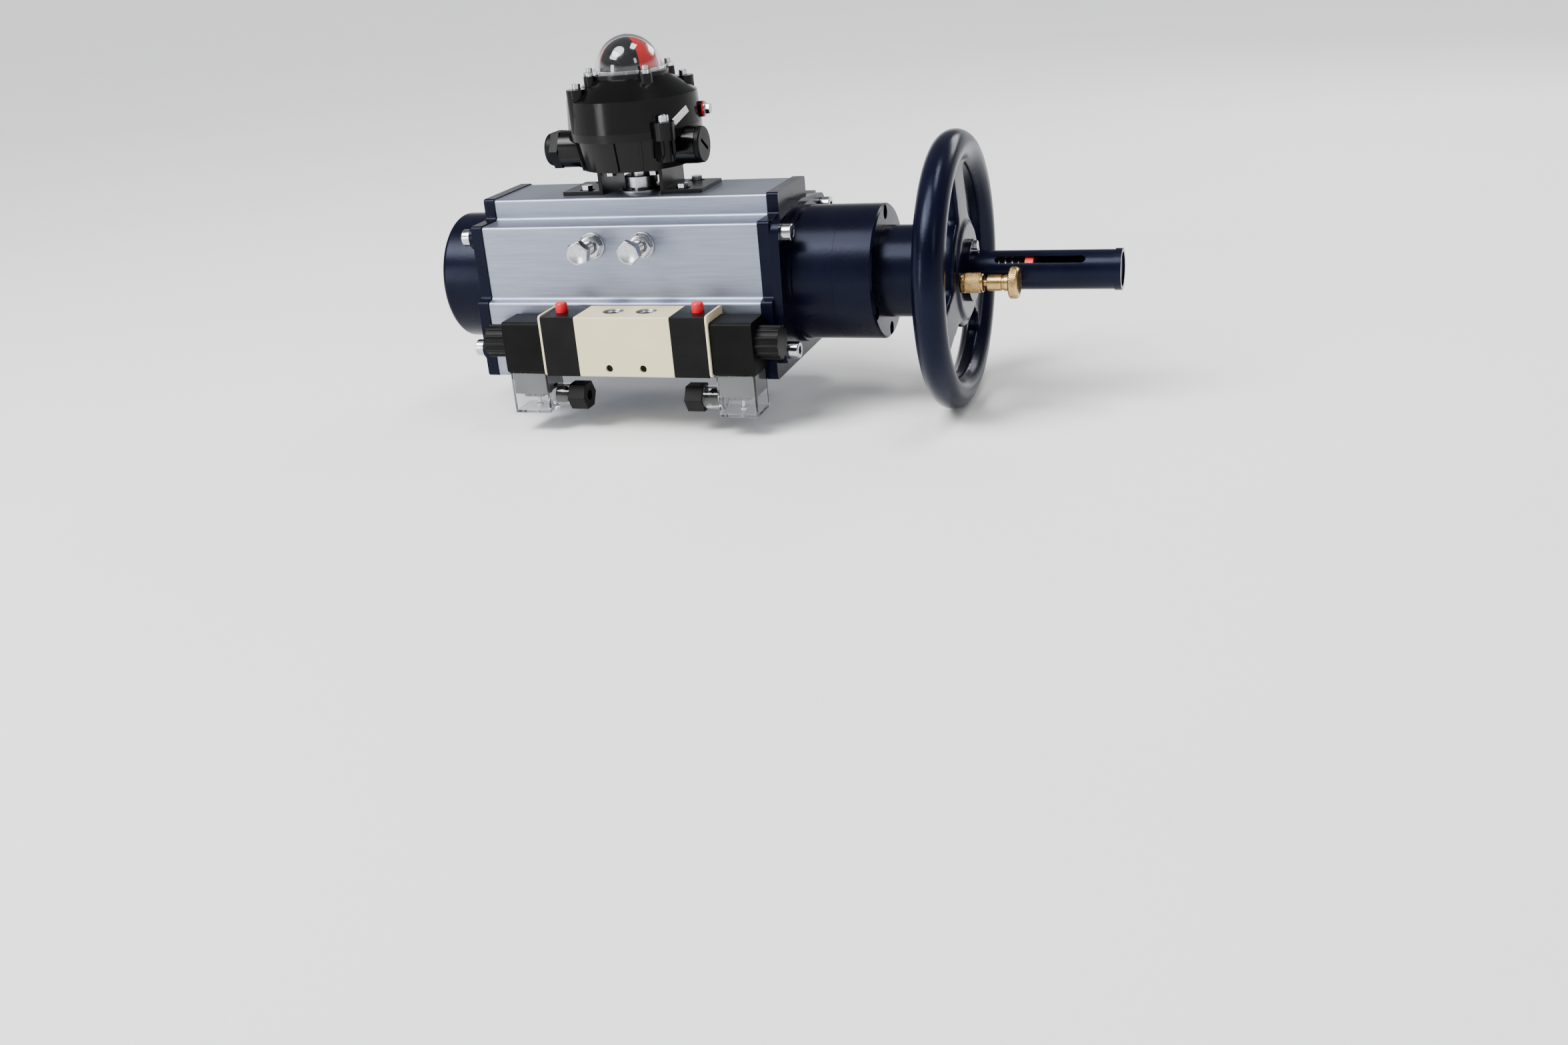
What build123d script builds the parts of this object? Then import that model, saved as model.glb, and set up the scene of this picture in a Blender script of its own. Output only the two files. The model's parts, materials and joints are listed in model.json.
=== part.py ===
from build123d import *
import math
import os

# Rack-and-pinion rotary pneumatic actuator with a manual handwheel override,
# a limit-switch box on top and a double-solenoid valve on the front face.
# Origin: centre of the lower mounting face, on the drive-shaft axis.
# X runs along the cylinder towards the handwheel, -Y is the valve side.

os.makedirs("parts", exist_ok=True)

# ---------------------------------------------------------------- dimensions
# Cylinder body
body_length = 226
body_height = 133
bore_r = 50
top_half_width = 33
middle_half_width = 59
base_half_width = 66
shelf_z = 117
ledge_z = 59
body_edge_r = 2.5
axis_z = body_height / 2
half_length = body_length / 2

# End-cap screws (M8) at the four corners of the body
cap_screw_r = 4
cap_screw_points = ((-50, 107.5), (50, 107.5), (-55, 20), (55, 20))
cap_screw_depth = 24
cap_screw_length = 30
thread_gap = 0.05

# End caps and override housing
cap_plate = 9
cap_grow = 1
cup_r = 50
cup_end = 161.4
cap_wall = 7
lug_plate = 7
lug_r = 10
boss_r = 9
boss_height = 4
hull_r = 56
housing_r = 50.7
split_x = 164
housing_end = 194
neck_r = 34.4
neck_end = 222
bush_r = 24
bush_start = 184
bush_end = 221
sleeve_r = 20
sleeve_end = 178
ring_x = 180
housing_screw_r = 2.5
housing_screw_circle_r = 44.5
housing_screw_count = 6
housing_seat_depth = 9

# Drive train
gear_module = 2.5
tooth_count = 16
pitch_r = gear_module * tooth_count / 2
tooth_pitch = math.pi * gear_module
pressure_angle = math.radians(20)
backlash = 0.5
rack_addendum = 0.8 * gear_module
rack_dedendum = 1.25 * gear_module
arm_depth = 16
piston_face = 44
piston_thickness = 16
piston_r = 49.6
rack_end = 42
rack_half_height = 14

# Drive shaft
shaft_lower_r = 19
shaft_upper_r = 13
shaft_top = 145
drive_square = 22
drive_depth = 24
lower_bearing_r = 22
upper_bearing_r = 16
shaft_start = 0.5
cam_r = 27
cam_height = 10
washer_thickness = 1.5
flange_small_r = 35
flange_large_r = 51

# Travel stops
stop_x = 20.5
stop_z = 102
stop_r = 5
stop_face_y = 4
stop_stand_off = 22
stop_head = 7
stop_nut = 6
stop_washer = 2
wrench_ratio = 1.6

# Handwheel, guard tube and lock plunger
wheel_x = 246
wheel_r = 103
rim_axial_r = 12
rim_radial_r = 11.5
hub_r = 36
spoke_width = 32
window_inner_r = 42
window_outer_r = 79.5
hub_start = 224
hub_end = 256
screw_r = 9.9
screw_tip = 112.5
screw_end = 306
tube_r = 14.4
tube_wall = 2
tube_end = 368.4
plunger_y = -27
plunger_z = axis_z - 3
pin_r = 2.5
plunger_r = 7.4
barrel_length = 16
pin_tip = 223
pull_start = 275
pull_r = 6
lock_travel = 8
knob_start = 291
knob_end = 298
knob_r = 11.6
slot_middle = 310
slot_length = 66
slot_width = 6
flange_r = 23
flange_thickness = 4
nut_r = 16
nut_length = 22
hub_bolt_circle_r = 18.8
index_hole_count = 8

# Switch bracket and switch box
bracket_pitch_x = 80
bracket_pitch_y = 30
bracket_height = 20
sheet = 3
bracket_top_length = 54
bracket_foot_length = 34
bracket_depth = 44
box_screw_pitch_x = 36
box_screw_pitch_y = 30
small_screw_r = 2.5
foot_x = (bracket_top_length + bracket_foot_length) / 2 - sheet
box_floor = body_height + bracket_height
box_joint = 182
box_shoulder = 205
box_top = 222
box_r = 51.5
entry_x = 56
entry_r = 14
plug_r = 10
entry_y = -12
entry_z = 167.5
dome_r = 25.5
dome_wall = 1.8
dome_screw_circle_r = 32
indicator_r = 22.5
indicator_z = 224.5
earth_x = 52
earth_y = 14
earth_z = 190

# Solenoid valve
valve_x = 14
valve_half = 38.5
valve_depth = 34
valve_low = 11
valve_high = 57
valve_back = -base_half_width
valve_y = valve_back - valve_depth / 2
valve_z = (valve_low + valve_high) / 2
pilot_length = 28
plate_thickness = 1.8
coil_length = 33
coil_low = 12
coil_high = 52
knob_length = 18
port_r = 8.3
port_spacing = 27
air_hole_r = 3.5
air_hole_z = 38
air_hole_spacing = 24
valve_screw_spacing = 27.6
valve_screw_z = 17.5
spool_r = 8
button_offset = 55.5
button_r = 4.6
button_height = 7.5
button_depth = 6
connector_wall = 2
barrel_r = 9
knob_grip_r = 11.6
gland_length = 14
connector_low = -20
gland_z = -9

air_hole_points = (
    (valve_x - air_hole_spacing / 2, air_hole_z),
    (valve_x + air_hole_spacing / 2, air_hole_z),
)
top_port_points = (
    (valve_x - port_spacing / 2, valve_y + 2),
    (valve_x + port_spacing / 2, valve_y + 2),
)
valve_screw_points = (
    (valve_x - valve_screw_spacing / 2, valve_screw_z),
    (valve_x + valve_screw_spacing / 2, valve_screw_z),
)

# ------------------------------------------------------------ shared shapes
def body_profile(grow):
    """Cross-section of the cylinder body, grown outwards by a margin."""
    with BuildSketch() as profile:
        with BuildLine():
            Polyline(
                (0, 0),
                (base_half_width, 0),
                (base_half_width, ledge_z),
                (middle_half_width, ledge_z + 1.5),
                (middle_half_width, shelf_z),
                (top_half_width, shelf_z),
                (top_half_width, body_height),
                (0, body_height),
                close=True,
            )
        make_face()
        mirror(about=Plane.YZ)
        if grow:
            offset(amount=grow, kind=Kind.INTERSECTION)
            Rectangle(
                3 * base_half_width,
                3 * body_height,
                align=(Align.CENTER, Align.MIN),
                mode=Mode.INTERSECT,
            )
        fillet(profile.vertices(), body_edge_r)
    return profile.sketch_local


def socket_screw(thread_r, length):
    """Socket-head screw along Z, with its head on top of the XY plane."""
    with BuildPart() as screw:
        Cylinder(thread_r, length, align=(Align.CENTER, Align.CENTER, Align.MAX))
        Cylinder(thread_r * 1.63, thread_r * 2, align=(Align.CENTER, Align.CENTER, Align.MIN))
        chamfer(screw.edges().sort_by(Axis.Z)[-1], thread_r * 0.15)
        with BuildSketch(Plane.XY.offset(thread_r * 2)):
            RegularPolygon(thread_r * 0.75, 6, major_radius=False)
        extrude(amount=-thread_r, mode=Mode.SUBTRACT)
    return screw.part


def hex_bolt(thread_r, length, head_height):
    """Hexagon bolt along Z, with its head on top of the XY plane."""
    with BuildPart() as bolt:
        Cylinder(thread_r, length, align=(Align.CENTER, Align.CENTER, Align.MAX))
        with BuildSketch():
            RegularPolygon(thread_r * wrench_ratio, 6, major_radius=False)
        extrude(amount=head_height)
    return bolt.part


def rack_outline():
    """Rack toothed side of a piston arm, seen from above, teeth towards -Y."""
    half_tooth = (tooth_pitch / 2 - backlash / 2) / 2
    tip = half_tooth - rack_addendum * math.tan(pressure_angle)
    root = half_tooth + rack_dedendum * math.tan(pressure_angle)
    points = [(-piston_face, pitch_r + rack_dedendum)]
    for k in range(-2, 5):
        centre = (k + 0.5) * tooth_pitch
        points += [
            (centre - root, pitch_r + rack_dedendum),
            (centre - tip, pitch_r - rack_addendum),
            (centre + tip, pitch_r - rack_addendum),
            (centre + root, pitch_r + rack_dedendum),
        ]
    points += [
        (rack_end, pitch_r + rack_dedendum),
        (rack_end, pitch_r + arm_depth),
        (-piston_face, pitch_r + arm_depth),
    ]
    return points


def pinion_outline():
    """Involute tooth outline of the pinion, with a tooth on the +X axis."""
    base_r = pitch_r * math.cos(pressure_angle)
    tip_r = pitch_r + gear_module
    root_r = pitch_r - rack_addendum - 0.4 * gear_module
    half_angle = (tooth_pitch / 2 - backlash / 2) / (2 * pitch_r)
    start = half_angle + math.tan(pressure_angle) - pressure_angle
    flank = [(root_r, start)]
    for step in range(6):
        radius = base_r + (tip_r - base_r) * step / 5
        roll = math.acos(min(1, base_r / radius))
        flank.append((radius, start - (math.tan(roll) - roll)))
    points = []
    for tooth in range(tooth_count):
        centre = 2 * math.pi * tooth / tooth_count
        for radius, angle in flank:
            points.append((radius * math.cos(centre - angle), radius * math.sin(centre - angle)))
        for radius, angle in reversed(flank):
            points.append((radius * math.cos(centre + angle), radius * math.sin(centre + angle)))
    return points


# ------------------------------------------------------------- cylinder body
with BuildPart() as cylinder_body:
    with BuildSketch(Plane.YZ):
        add(body_profile(0))
        with Locations((0, axis_z)):
            Circle(bore_r, mode=Mode.SUBTRACT)
    extrude(amount=half_length, both=True)
    # Threads for the end-cap screws
    for side in (-1, 1):
        with BuildSketch(Plane.YZ.offset(side * half_length)):
            with Locations(*cap_screw_points):
                Circle(cap_screw_r + thread_gap)
        extrude(amount=-side * cap_screw_depth, mode=Mode.SUBTRACT)
    # Shaft bearings, above and below the bore
    with BuildSketch():
        Circle(lower_bearing_r)
    extrude(amount=axis_z - 30, mode=Mode.SUBTRACT)
    with BuildSketch(Plane.XY.offset(body_height)):
        Circle(upper_bearing_r)
    extrude(amount=30 - axis_z, mode=Mode.SUBTRACT)
    # Valve-flange patterns on the lower face
    with BuildSketch():
        with PolarLocations(flange_small_r, 4, start_angle=45):
            Circle(4)
    extrude(amount=14, mode=Mode.SUBTRACT)
    with BuildSketch():
        with PolarLocations(flange_large_r, 4, start_angle=45):
            Circle(5)
    extrude(amount=18, mode=Mode.SUBTRACT)
    # Bracket threads on the top face
    with BuildSketch(Plane.XY.offset(body_height)):
        with GridLocations(bracket_pitch_x, bracket_pitch_y, 2, 2):
            Circle(small_screw_r + thread_gap)
    extrude(amount=-10, mode=Mode.SUBTRACT)
    # Travel-stop threads through the front wall
    with BuildSketch(Plane.XZ.offset(middle_half_width)):
        with Locations((-stop_x, stop_z), (stop_x, stop_z)):
            Circle(stop_r + thread_gap)
    extrude(amount=-30, mode=Mode.SUBTRACT)
    # Air passages and valve-screw threads in the front face
    with BuildSketch(Plane.XZ.offset(base_half_width)):
        with Locations(*air_hole_points):
            Circle(air_hole_r)
    extrude(amount=-30, mode=Mode.SUBTRACT)
    with BuildSketch(Plane.XZ.offset(base_half_width)):
        with Locations(*valve_screw_points):
            Circle(1.5 + thread_gap)
    extrude(amount=-12, mode=Mode.SUBTRACT)
cylinder_body.part.label = "cylinder_body"
export_step(cylinder_body.part, "parts/cylinder_body.step")

# ------------------------------------------------------------------ end caps
with BuildPart() as left_end_cap:
    with BuildSketch(Plane.YZ.offset(-half_length)):
        add(body_profile(cap_grow))
    extrude(amount=-cap_plate)
    with BuildSketch(Plane.YZ.offset(-half_length - cap_plate)):
        with Locations(*cap_screw_points):
            Circle(boss_r)
    extrude(amount=-boss_height)
    with BuildSketch(Plane.YZ.offset(-half_length - cap_plate)):
        with Locations((0, axis_z)):
            Circle(cup_r)
    extrude(amount=-(cup_end - half_length - cap_plate))
    fillet(left_end_cap.edges().filter_by(GeomType.CIRCLE).sort_by(Axis.X)[0], 4)
    with BuildSketch(Plane.YZ.offset(-half_length)):
        with Locations((0, axis_z)):
            Circle(cup_r - cap_wall)
    extrude(amount=-(cup_end - half_length - 6), mode=Mode.SUBTRACT)
    with BuildSketch(Plane.YZ.offset(-half_length)):
        with Locations(*cap_screw_points):
            Circle(cap_screw_r + 0.5)
    extrude(amount=-20, mode=Mode.SUBTRACT)
left_end_cap.part.label = "left_end_cap"
export_step(left_end_cap.part, "parts/left_end_cap.step")

with BuildPart() as right_end_cap:
    with BuildSketch(Plane.YZ.offset(half_length)):
        add(body_profile(cap_grow))
    extrude(amount=cap_plate)
    # Four-lug flange that steps down to the round housing
    with BuildSketch(Plane.YZ.offset(half_length + cap_plate)):
        with Locations((0, axis_z)):
            Circle(hull_r)
        with Locations(*cap_screw_points):
            Circle(lug_r)
        make_hull()
    extrude(amount=lug_plate)
    with BuildSketch(Plane.YZ.offset(half_length + cap_plate + lug_plate)):
        with Locations((0, axis_z)):
            Circle(housing_r + 2.5)
    extrude(amount=4)
    with BuildSketch(Plane.YZ.offset(half_length + cap_plate)):
        with Locations((0, axis_z)):
            Circle(housing_r)
    extrude(amount=split_x - half_length - cap_plate)
    with BuildSketch(Plane.YZ.offset(half_length)):
        with Locations((0, axis_z)):
            Circle(cup_r - cap_wall)
    extrude(amount=37, mode=Mode.SUBTRACT)
    with BuildSketch(Plane.YZ.offset(half_length)):
        with Locations(*cap_screw_points):
            Circle(cap_screw_r + 0.5)
    extrude(amount=20, mode=Mode.SUBTRACT)
    with BuildSketch(Plane.YZ.offset(split_x)):
        with Locations((0, axis_z)):
            Circle(screw_r + 0.3)
    extrude(amount=-20, mode=Mode.SUBTRACT)
    # Threads for the housing screws
    with BuildSketch(Plane.YZ.offset(split_x)):
        with Locations((0, axis_z)):
            with PolarLocations(housing_screw_circle_r, housing_screw_count, start_angle=90):
                Circle(housing_screw_r + thread_gap)
    extrude(amount=-12, mode=Mode.SUBTRACT)
right_end_cap.part.label = "right_end_cap"
export_step(right_end_cap.part, "parts/right_end_cap.step")

with BuildPart() as end_cap_screws:
    left_head = half_length + cap_plate + boss_height
    right_head = half_length + cap_plate + lug_plate
    for side, head in ((-1, left_head), (1, right_head)):
        for y, z in cap_screw_points:
            with Locations(Location((side * head, y, z), (0, side * 90, 0))):
                add(socket_screw(cap_screw_r, cap_screw_length))
end_cap_screws.part.label = "end_cap_screws"
export_step(end_cap_screws.part, "parts/end_cap_screws.step")

# --------------------------------------------------------- override housing
with BuildPart() as override_housing:
    with BuildSketch(Plane.YZ.offset(split_x)):
        with Locations((0, axis_z)):
            Circle(housing_r)
    extrude(amount=housing_end - split_x)
    chamfer(override_housing.edges().filter_by(GeomType.CIRCLE).sort_by(Axis.X)[-1], 1.5)
    with BuildSketch(Plane.YZ.offset(housing_end)):
        with Locations((0, axis_z)):
            Circle(neck_r)
    extrude(amount=neck_end - housing_end)
    with BuildSketch(Plane.YZ.offset(split_x)):
        with Locations((0, axis_z)):
            Circle(38)
    extrude(amount=18, mode=Mode.SUBTRACT)
    with BuildSketch(Plane.YZ.offset(neck_end)):
        with Locations((0, axis_z)):
            Circle(bush_r)
    extrude(amount=split_x - neck_end, mode=Mode.SUBTRACT)
    # Recessed seats for the housing screws
    with BuildSketch(Plane.YZ.offset(housing_end)):
        with Locations((0, axis_z)):
            with PolarLocations(housing_screw_circle_r, housing_screw_count, start_angle=90):
                Circle(housing_screw_r + 2.7)
    extrude(amount=-housing_seat_depth, mode=Mode.SUBTRACT)
    with BuildSketch(Plane.YZ.offset(housing_end)):
        with Locations((0, axis_z)):
            with PolarLocations(housing_screw_circle_r, housing_screw_count, start_angle=90):
                Circle(housing_screw_r + 0.3)
    extrude(amount=split_x - housing_end, mode=Mode.SUBTRACT)
    # Index holes that the lock plunger drops into
    plunger_angle = math.degrees(math.atan2(plunger_z - axis_z, plunger_y))
    plunger_radius = math.hypot(plunger_y, plunger_z - axis_z)
    with BuildSketch(Plane.YZ.offset(neck_end)):
        with Locations((0, axis_z)):
            with PolarLocations(plunger_radius, index_hole_count, start_angle=plunger_angle):
                Circle(pin_r + 0.2)
    extrude(amount=-11, mode=Mode.SUBTRACT)
override_housing.part.label = "override_housing"
export_step(override_housing.part, "parts/override_housing.step")

with BuildPart() as housing_screws:
    for k in range(housing_screw_count):
        angle = math.pi / 2 + 2 * math.pi * k / housing_screw_count
        y = housing_screw_circle_r * math.cos(angle)
        z = axis_z + housing_screw_circle_r * math.sin(angle)
        with Locations(Location((housing_end - housing_seat_depth, y, z), (0, 90, 0))):
            add(socket_screw(housing_screw_r, 30))
housing_screws.part.label = "housing_screws"
export_step(housing_screws.part, "parts/housing_screws.step")

with BuildPart() as hub_bush:
    with BuildSketch(Plane.YZ.offset(bush_start)):
        with Locations((0, axis_z)):
            Circle(bush_r)
            Circle(sleeve_r + 0.05, mode=Mode.SUBTRACT)
    extrude(amount=bush_end - bush_start)
hub_bush.part.label = "hub_bush"
export_step(hub_bush.part, "parts/hub_bush.step")

# --------------------------------------------------------------- drive shaft
with BuildPart() as drive_shaft:
    with BuildSketch(Plane.XY.offset(shaft_start)):
        Circle(shaft_lower_r)
    extrude(amount=27.5)
    with BuildSketch(Plane.XY.offset(shaft_start)):
        Circle(16)
    extrude(amount=107.5)
    with BuildSketch(Plane.XY.offset(shaft_start)):
        Circle(shaft_upper_r)
    extrude(amount=shaft_top - shaft_start)
    chamfer(drive_shaft.edges().filter_by(GeomType.CIRCLE).sort_by(Axis.Z)[-1], 0.8)
    # Pinion teeth
    with BuildSketch(Plane.XY.offset(axis_z - rack_half_height)):
        with BuildLine():
            Polyline(*pinion_outline(), close=True)
        make_face()
    extrude(amount=2 * rack_half_height)
    # Quarter-round stop cam
    with BuildSketch(Plane.XY.offset(stop_z - 6)):
        Circle(cam_r)
        with Locations((-stop_face_y, -stop_face_y)):
            Rectangle(40, 40, align=(Align.MIN, Align.MIN), mode=Mode.INTERSECT)
    extrude(amount=cam_height)
    # Double-square socket for the driven stem
    with BuildSketch(Plane.XY.offset(shaft_start)):
        Rectangle(drive_square, drive_square)
        Rectangle(drive_square, drive_square, rotation=45)
    extrude(amount=drive_depth, mode=Mode.SUBTRACT)
    # Circlip groove and driving slot at the top
    with BuildSketch(Plane.XY.offset(body_height + washer_thickness + 0.1)):
        Circle(shaft_upper_r + 1)
        Circle(shaft_upper_r - 0.9, mode=Mode.SUBTRACT)
    extrude(amount=1.6, mode=Mode.SUBTRACT)
    with BuildSketch(Plane.XY.offset(shaft_top)):
        Rectangle(2 * shaft_upper_r + 2, 4)
    extrude(amount=-6.5, mode=Mode.SUBTRACT)
drive_shaft.part.label = "drive_shaft"
export_step(drive_shaft.part, "parts/drive_shaft.step")

with BuildPart() as lower_bearing:
    with BuildSketch(Plane.XY.offset(1)):
        Circle(lower_bearing_r)
        Circle(shaft_lower_r + 0.05, mode=Mode.SUBTRACT)
    extrude(amount=15)
lower_bearing.part.label = "lower_bearing"
export_step(lower_bearing.part, "parts/lower_bearing.step")

with BuildPart() as upper_bearing:
    with BuildSketch(Plane.XY.offset(body_height - 0.5)):
        Circle(upper_bearing_r)
        Circle(shaft_upper_r + 0.05, mode=Mode.SUBTRACT)
    extrude(amount=-14)
upper_bearing.part.label = "upper_bearing"
export_step(upper_bearing.part, "parts/upper_bearing.step")

with BuildPart() as thrust_washer:
    with BuildSketch(Plane.XY.offset(body_height + thread_gap)):
        Circle(shaft_lower_r)
        Circle(shaft_upper_r + 0.1, mode=Mode.SUBTRACT)
    extrude(amount=washer_thickness)
thrust_washer.part.label = "thrust_washer"
export_step(thrust_washer.part, "parts/thrust_washer.step")

with BuildPart() as circlip:
    with BuildSketch(Plane.XY.offset(body_height + washer_thickness + 0.2)):
        Circle(15.5)
        Circle(shaft_upper_r - 0.8, mode=Mode.SUBTRACT)
        with Locations((0, -14)):
            Rectangle(5, 6, mode=Mode.SUBTRACT)
    extrude(amount=1.4)
circlip.part.label = "circlip"
export_step(circlip.part, "parts/circlip.step")

# ------------------------------------------------------------------- pistons
for side, name in ((-1, "left"), (1, "right")):
    turn = Plane.XY if side < 0 else Plane(origin=(0, 0, 0), x_dir=(-1, 0, 0))
    with BuildPart() as piston:
        with BuildSketch(turn.offset(axis_z - rack_half_height)):
            with BuildLine():
                Polyline(*rack_outline(), close=True)
            make_face()
        extrude(amount=2 * rack_half_height)
        with BuildSketch(Plane.YZ.offset(side * piston_face)):
            with Locations((0, axis_z)):
                Circle(piston_r)
        extrude(amount=side * piston_thickness)
        with BuildSketch(Plane.YZ.offset(side * (piston_face + 6))):
            with Locations((0, axis_z)):
                Circle(piston_r + 1)
                Circle(piston_r - 4, mode=Mode.SUBTRACT)
        extrude(amount=side * 5, mode=Mode.SUBTRACT)
        # Shallow recess that lightens the outer face
        with BuildSketch(Plane.YZ.offset(side * (piston_face + piston_thickness))):
            with Locations((0, axis_z)):
                Circle(40)
                Circle(14, mode=Mode.SUBTRACT)
        extrude(amount=-side * 4, mode=Mode.SUBTRACT)
    piston.part.label = f"{name}_piston"
    export_step(piston.part, f"parts/{name}_piston.step")

    with BuildPart() as piston_ring:
        with BuildSketch(Plane.YZ.offset(side * (piston_face + 6.1))):
            with Locations((0, axis_z)):
                Circle(bore_r - 0.05)
                Circle(piston_r - 3.9, mode=Mode.SUBTRACT)
        extrude(amount=side * 4.8)
    piston_ring.part.label = f"{name}_piston_ring"
    export_step(piston_ring.part, f"parts/{name}_piston_ring.step")

# -------------------------------------------------------------- travel stops
stop_face = middle_half_width
with BuildPart() as stop_bolts:
    bolt_length = stop_face + stop_stand_off - stop_face_y - 0.3
    for x in (-stop_x, stop_x):
        with Locations(Location((x, -stop_face - stop_stand_off, stop_z), (90, 0, 0))):
            add(hex_bolt(stop_r, bolt_length, stop_head))
stop_bolts.part.label = "stop_bolts"
export_step(stop_bolts.part, "parts/stop_bolts.step")

with BuildPart() as stop_nuts:
    with BuildSketch(Plane.XZ.offset(stop_face + stop_washer)):
        with Locations((-stop_x, stop_z), (stop_x, stop_z)):
            RegularPolygon(stop_r * wrench_ratio, 6, major_radius=False)
            Circle(stop_r + thread_gap, mode=Mode.SUBTRACT)
    extrude(amount=stop_nut)
stop_nuts.part.label = "stop_nuts"
export_step(stop_nuts.part, "parts/stop_nuts.step")

with BuildPart() as stop_washers:
    with BuildSketch(Plane.XZ.offset(stop_face)):
        with Locations((-stop_x, stop_z), (stop_x, stop_z)):
            Circle(2 * stop_r)
            Circle(stop_r + 0.3, mode=Mode.SUBTRACT)
    extrude(amount=stop_washer)
stop_washers.part.label = "stop_washers"
export_step(stop_washers.part, "parts/stop_washers.step")

# ------------------------------------------------------------ override screw
with BuildPart() as override_screw:
    with BuildSketch(Plane.YZ.offset(screw_tip)):
        with Locations((0, axis_z)):
            Circle(screw_r)
    extrude(amount=screw_end - screw_tip - 8)
    chamfer(override_screw.edges().filter_by(GeomType.CIRCLE).sort_by(Axis.X)[0], 1.5)
    with BuildSketch(Plane.YZ.offset(screw_end - 8)):
        with Locations((0, axis_z)):
            Circle(7)
    extrude(amount=8)
override_screw.part.label = "override_screw"
export_step(override_screw.part, "parts/override_screw.step")

with BuildPart() as indicator_collar:
    with BuildSketch(Plane.YZ.offset(screw_end - 7)):
        with Locations((0, axis_z)):
            Circle(tube_r - tube_wall - 0.3)
            Circle(7, mode=Mode.SUBTRACT)
    extrude(amount=6)
indicator_collar.part.label = "indicator_collar"
export_step(indicator_collar.part, "parts/indicator_collar.step")

# ------------------------------------------------------------------ handwheel
with BuildPart() as handwheel:
    # Dished web, cut out between three spokes
    with BuildSketch(Plane.XZ):
        with BuildLine():
            Polyline(
                (hub_end - 12, axis_z + hub_r - 4),
                (hub_end - 2, axis_z + hub_r - 4),
                (wheel_x + 4, axis_z + wheel_r - 2 * rim_radial_r + 3),
                (wheel_x - 5, axis_z + wheel_r - 2 * rim_radial_r + 3),
                close=True,
            )
        make_face()
    revolve(axis=Axis((0, 0, axis_z), (1, 0, 0)))
    with BuildSketch(Plane.YZ.offset(wheel_x - 20)) as openings:
        with Locations((0, axis_z)):
            Circle(window_outer_r)
            Circle(window_inner_r, mode=Mode.SUBTRACT)
            with PolarLocations(window_outer_r / 2, 3, start_angle=90):
                Rectangle(window_outer_r, spoke_width, mode=Mode.SUBTRACT)
        fillet(openings.vertices(), 9)
    extrude(amount=40, mode=Mode.SUBTRACT)
    with BuildSketch(Plane.XZ):
        with Locations((wheel_x, axis_z + wheel_r - rim_radial_r)):
            Ellipse(rim_axial_r, rim_radial_r)
    revolve(axis=Axis((0, 0, axis_z), (1, 0, 0)))
    with BuildSketch(Plane.YZ.offset(hub_start)):
        with Locations((0, axis_z)):
            Circle(hub_r)
    extrude(amount=hub_end - hub_start)
    with BuildSketch(Plane.YZ.offset(sleeve_end)):
        with Locations((0, axis_z)):
            Circle(sleeve_r)
    extrude(amount=hub_start - sleeve_end)
    with BuildSketch(Plane.YZ.offset(sleeve_end)):
        with Locations((0, axis_z)):
            Circle(screw_r + 0.4)
    extrude(amount=hub_end - sleeve_end, mode=Mode.SUBTRACT)
    with BuildSketch(Plane.YZ.offset(hub_end)):
        with Locations((0, axis_z)):
            Circle(nut_r)
    extrude(amount=-nut_length, mode=Mode.SUBTRACT)
    with BuildSketch(Plane.YZ.offset(hub_end)):
        with Locations((plunger_y, plunger_z)):
            Circle(pin_r + 0.2)
    extrude(amount=hub_start - hub_end, mode=Mode.SUBTRACT)
    with BuildSketch(Plane.YZ.offset(hub_end)):
        with Locations((0, axis_z)):
            with PolarLocations(hub_bolt_circle_r, 3, start_angle=90):
                Circle(2 + thread_gap)
    extrude(amount=-10, mode=Mode.SUBTRACT)
    with BuildSketch(Plane.YZ.offset(ring_x)):
        with Locations((0, axis_z)):
            Circle(sleeve_r + 1)
            Circle(sleeve_r - 1.5, mode=Mode.SUBTRACT)
    extrude(amount=2, mode=Mode.SUBTRACT)
handwheel.part.label = "handwheel"
export_step(handwheel.part, "parts/handwheel.step")

with BuildPart() as hub_ring:
    with BuildSketch(Plane.YZ.offset(ring_x + 0.1)):
        with Locations((0, axis_z)):
            Circle(sleeve_r + 3)
            Circle(sleeve_r - 1.4, mode=Mode.SUBTRACT)
    extrude(amount=1.8)
hub_ring.part.label = "hub_ring"
export_step(hub_ring.part, "parts/hub_ring.step")

with BuildPart() as bronze_nut:
    with BuildSketch(Plane.YZ.offset(hub_end - nut_length)):
        with Locations((0, axis_z)):
            Circle(nut_r)
            Circle(screw_r + 0.05, mode=Mode.SUBTRACT)
    extrude(amount=nut_length)
bronze_nut.part.label = "bronze_nut"
export_step(bronze_nut.part, "parts/bronze_nut.step")

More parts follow.
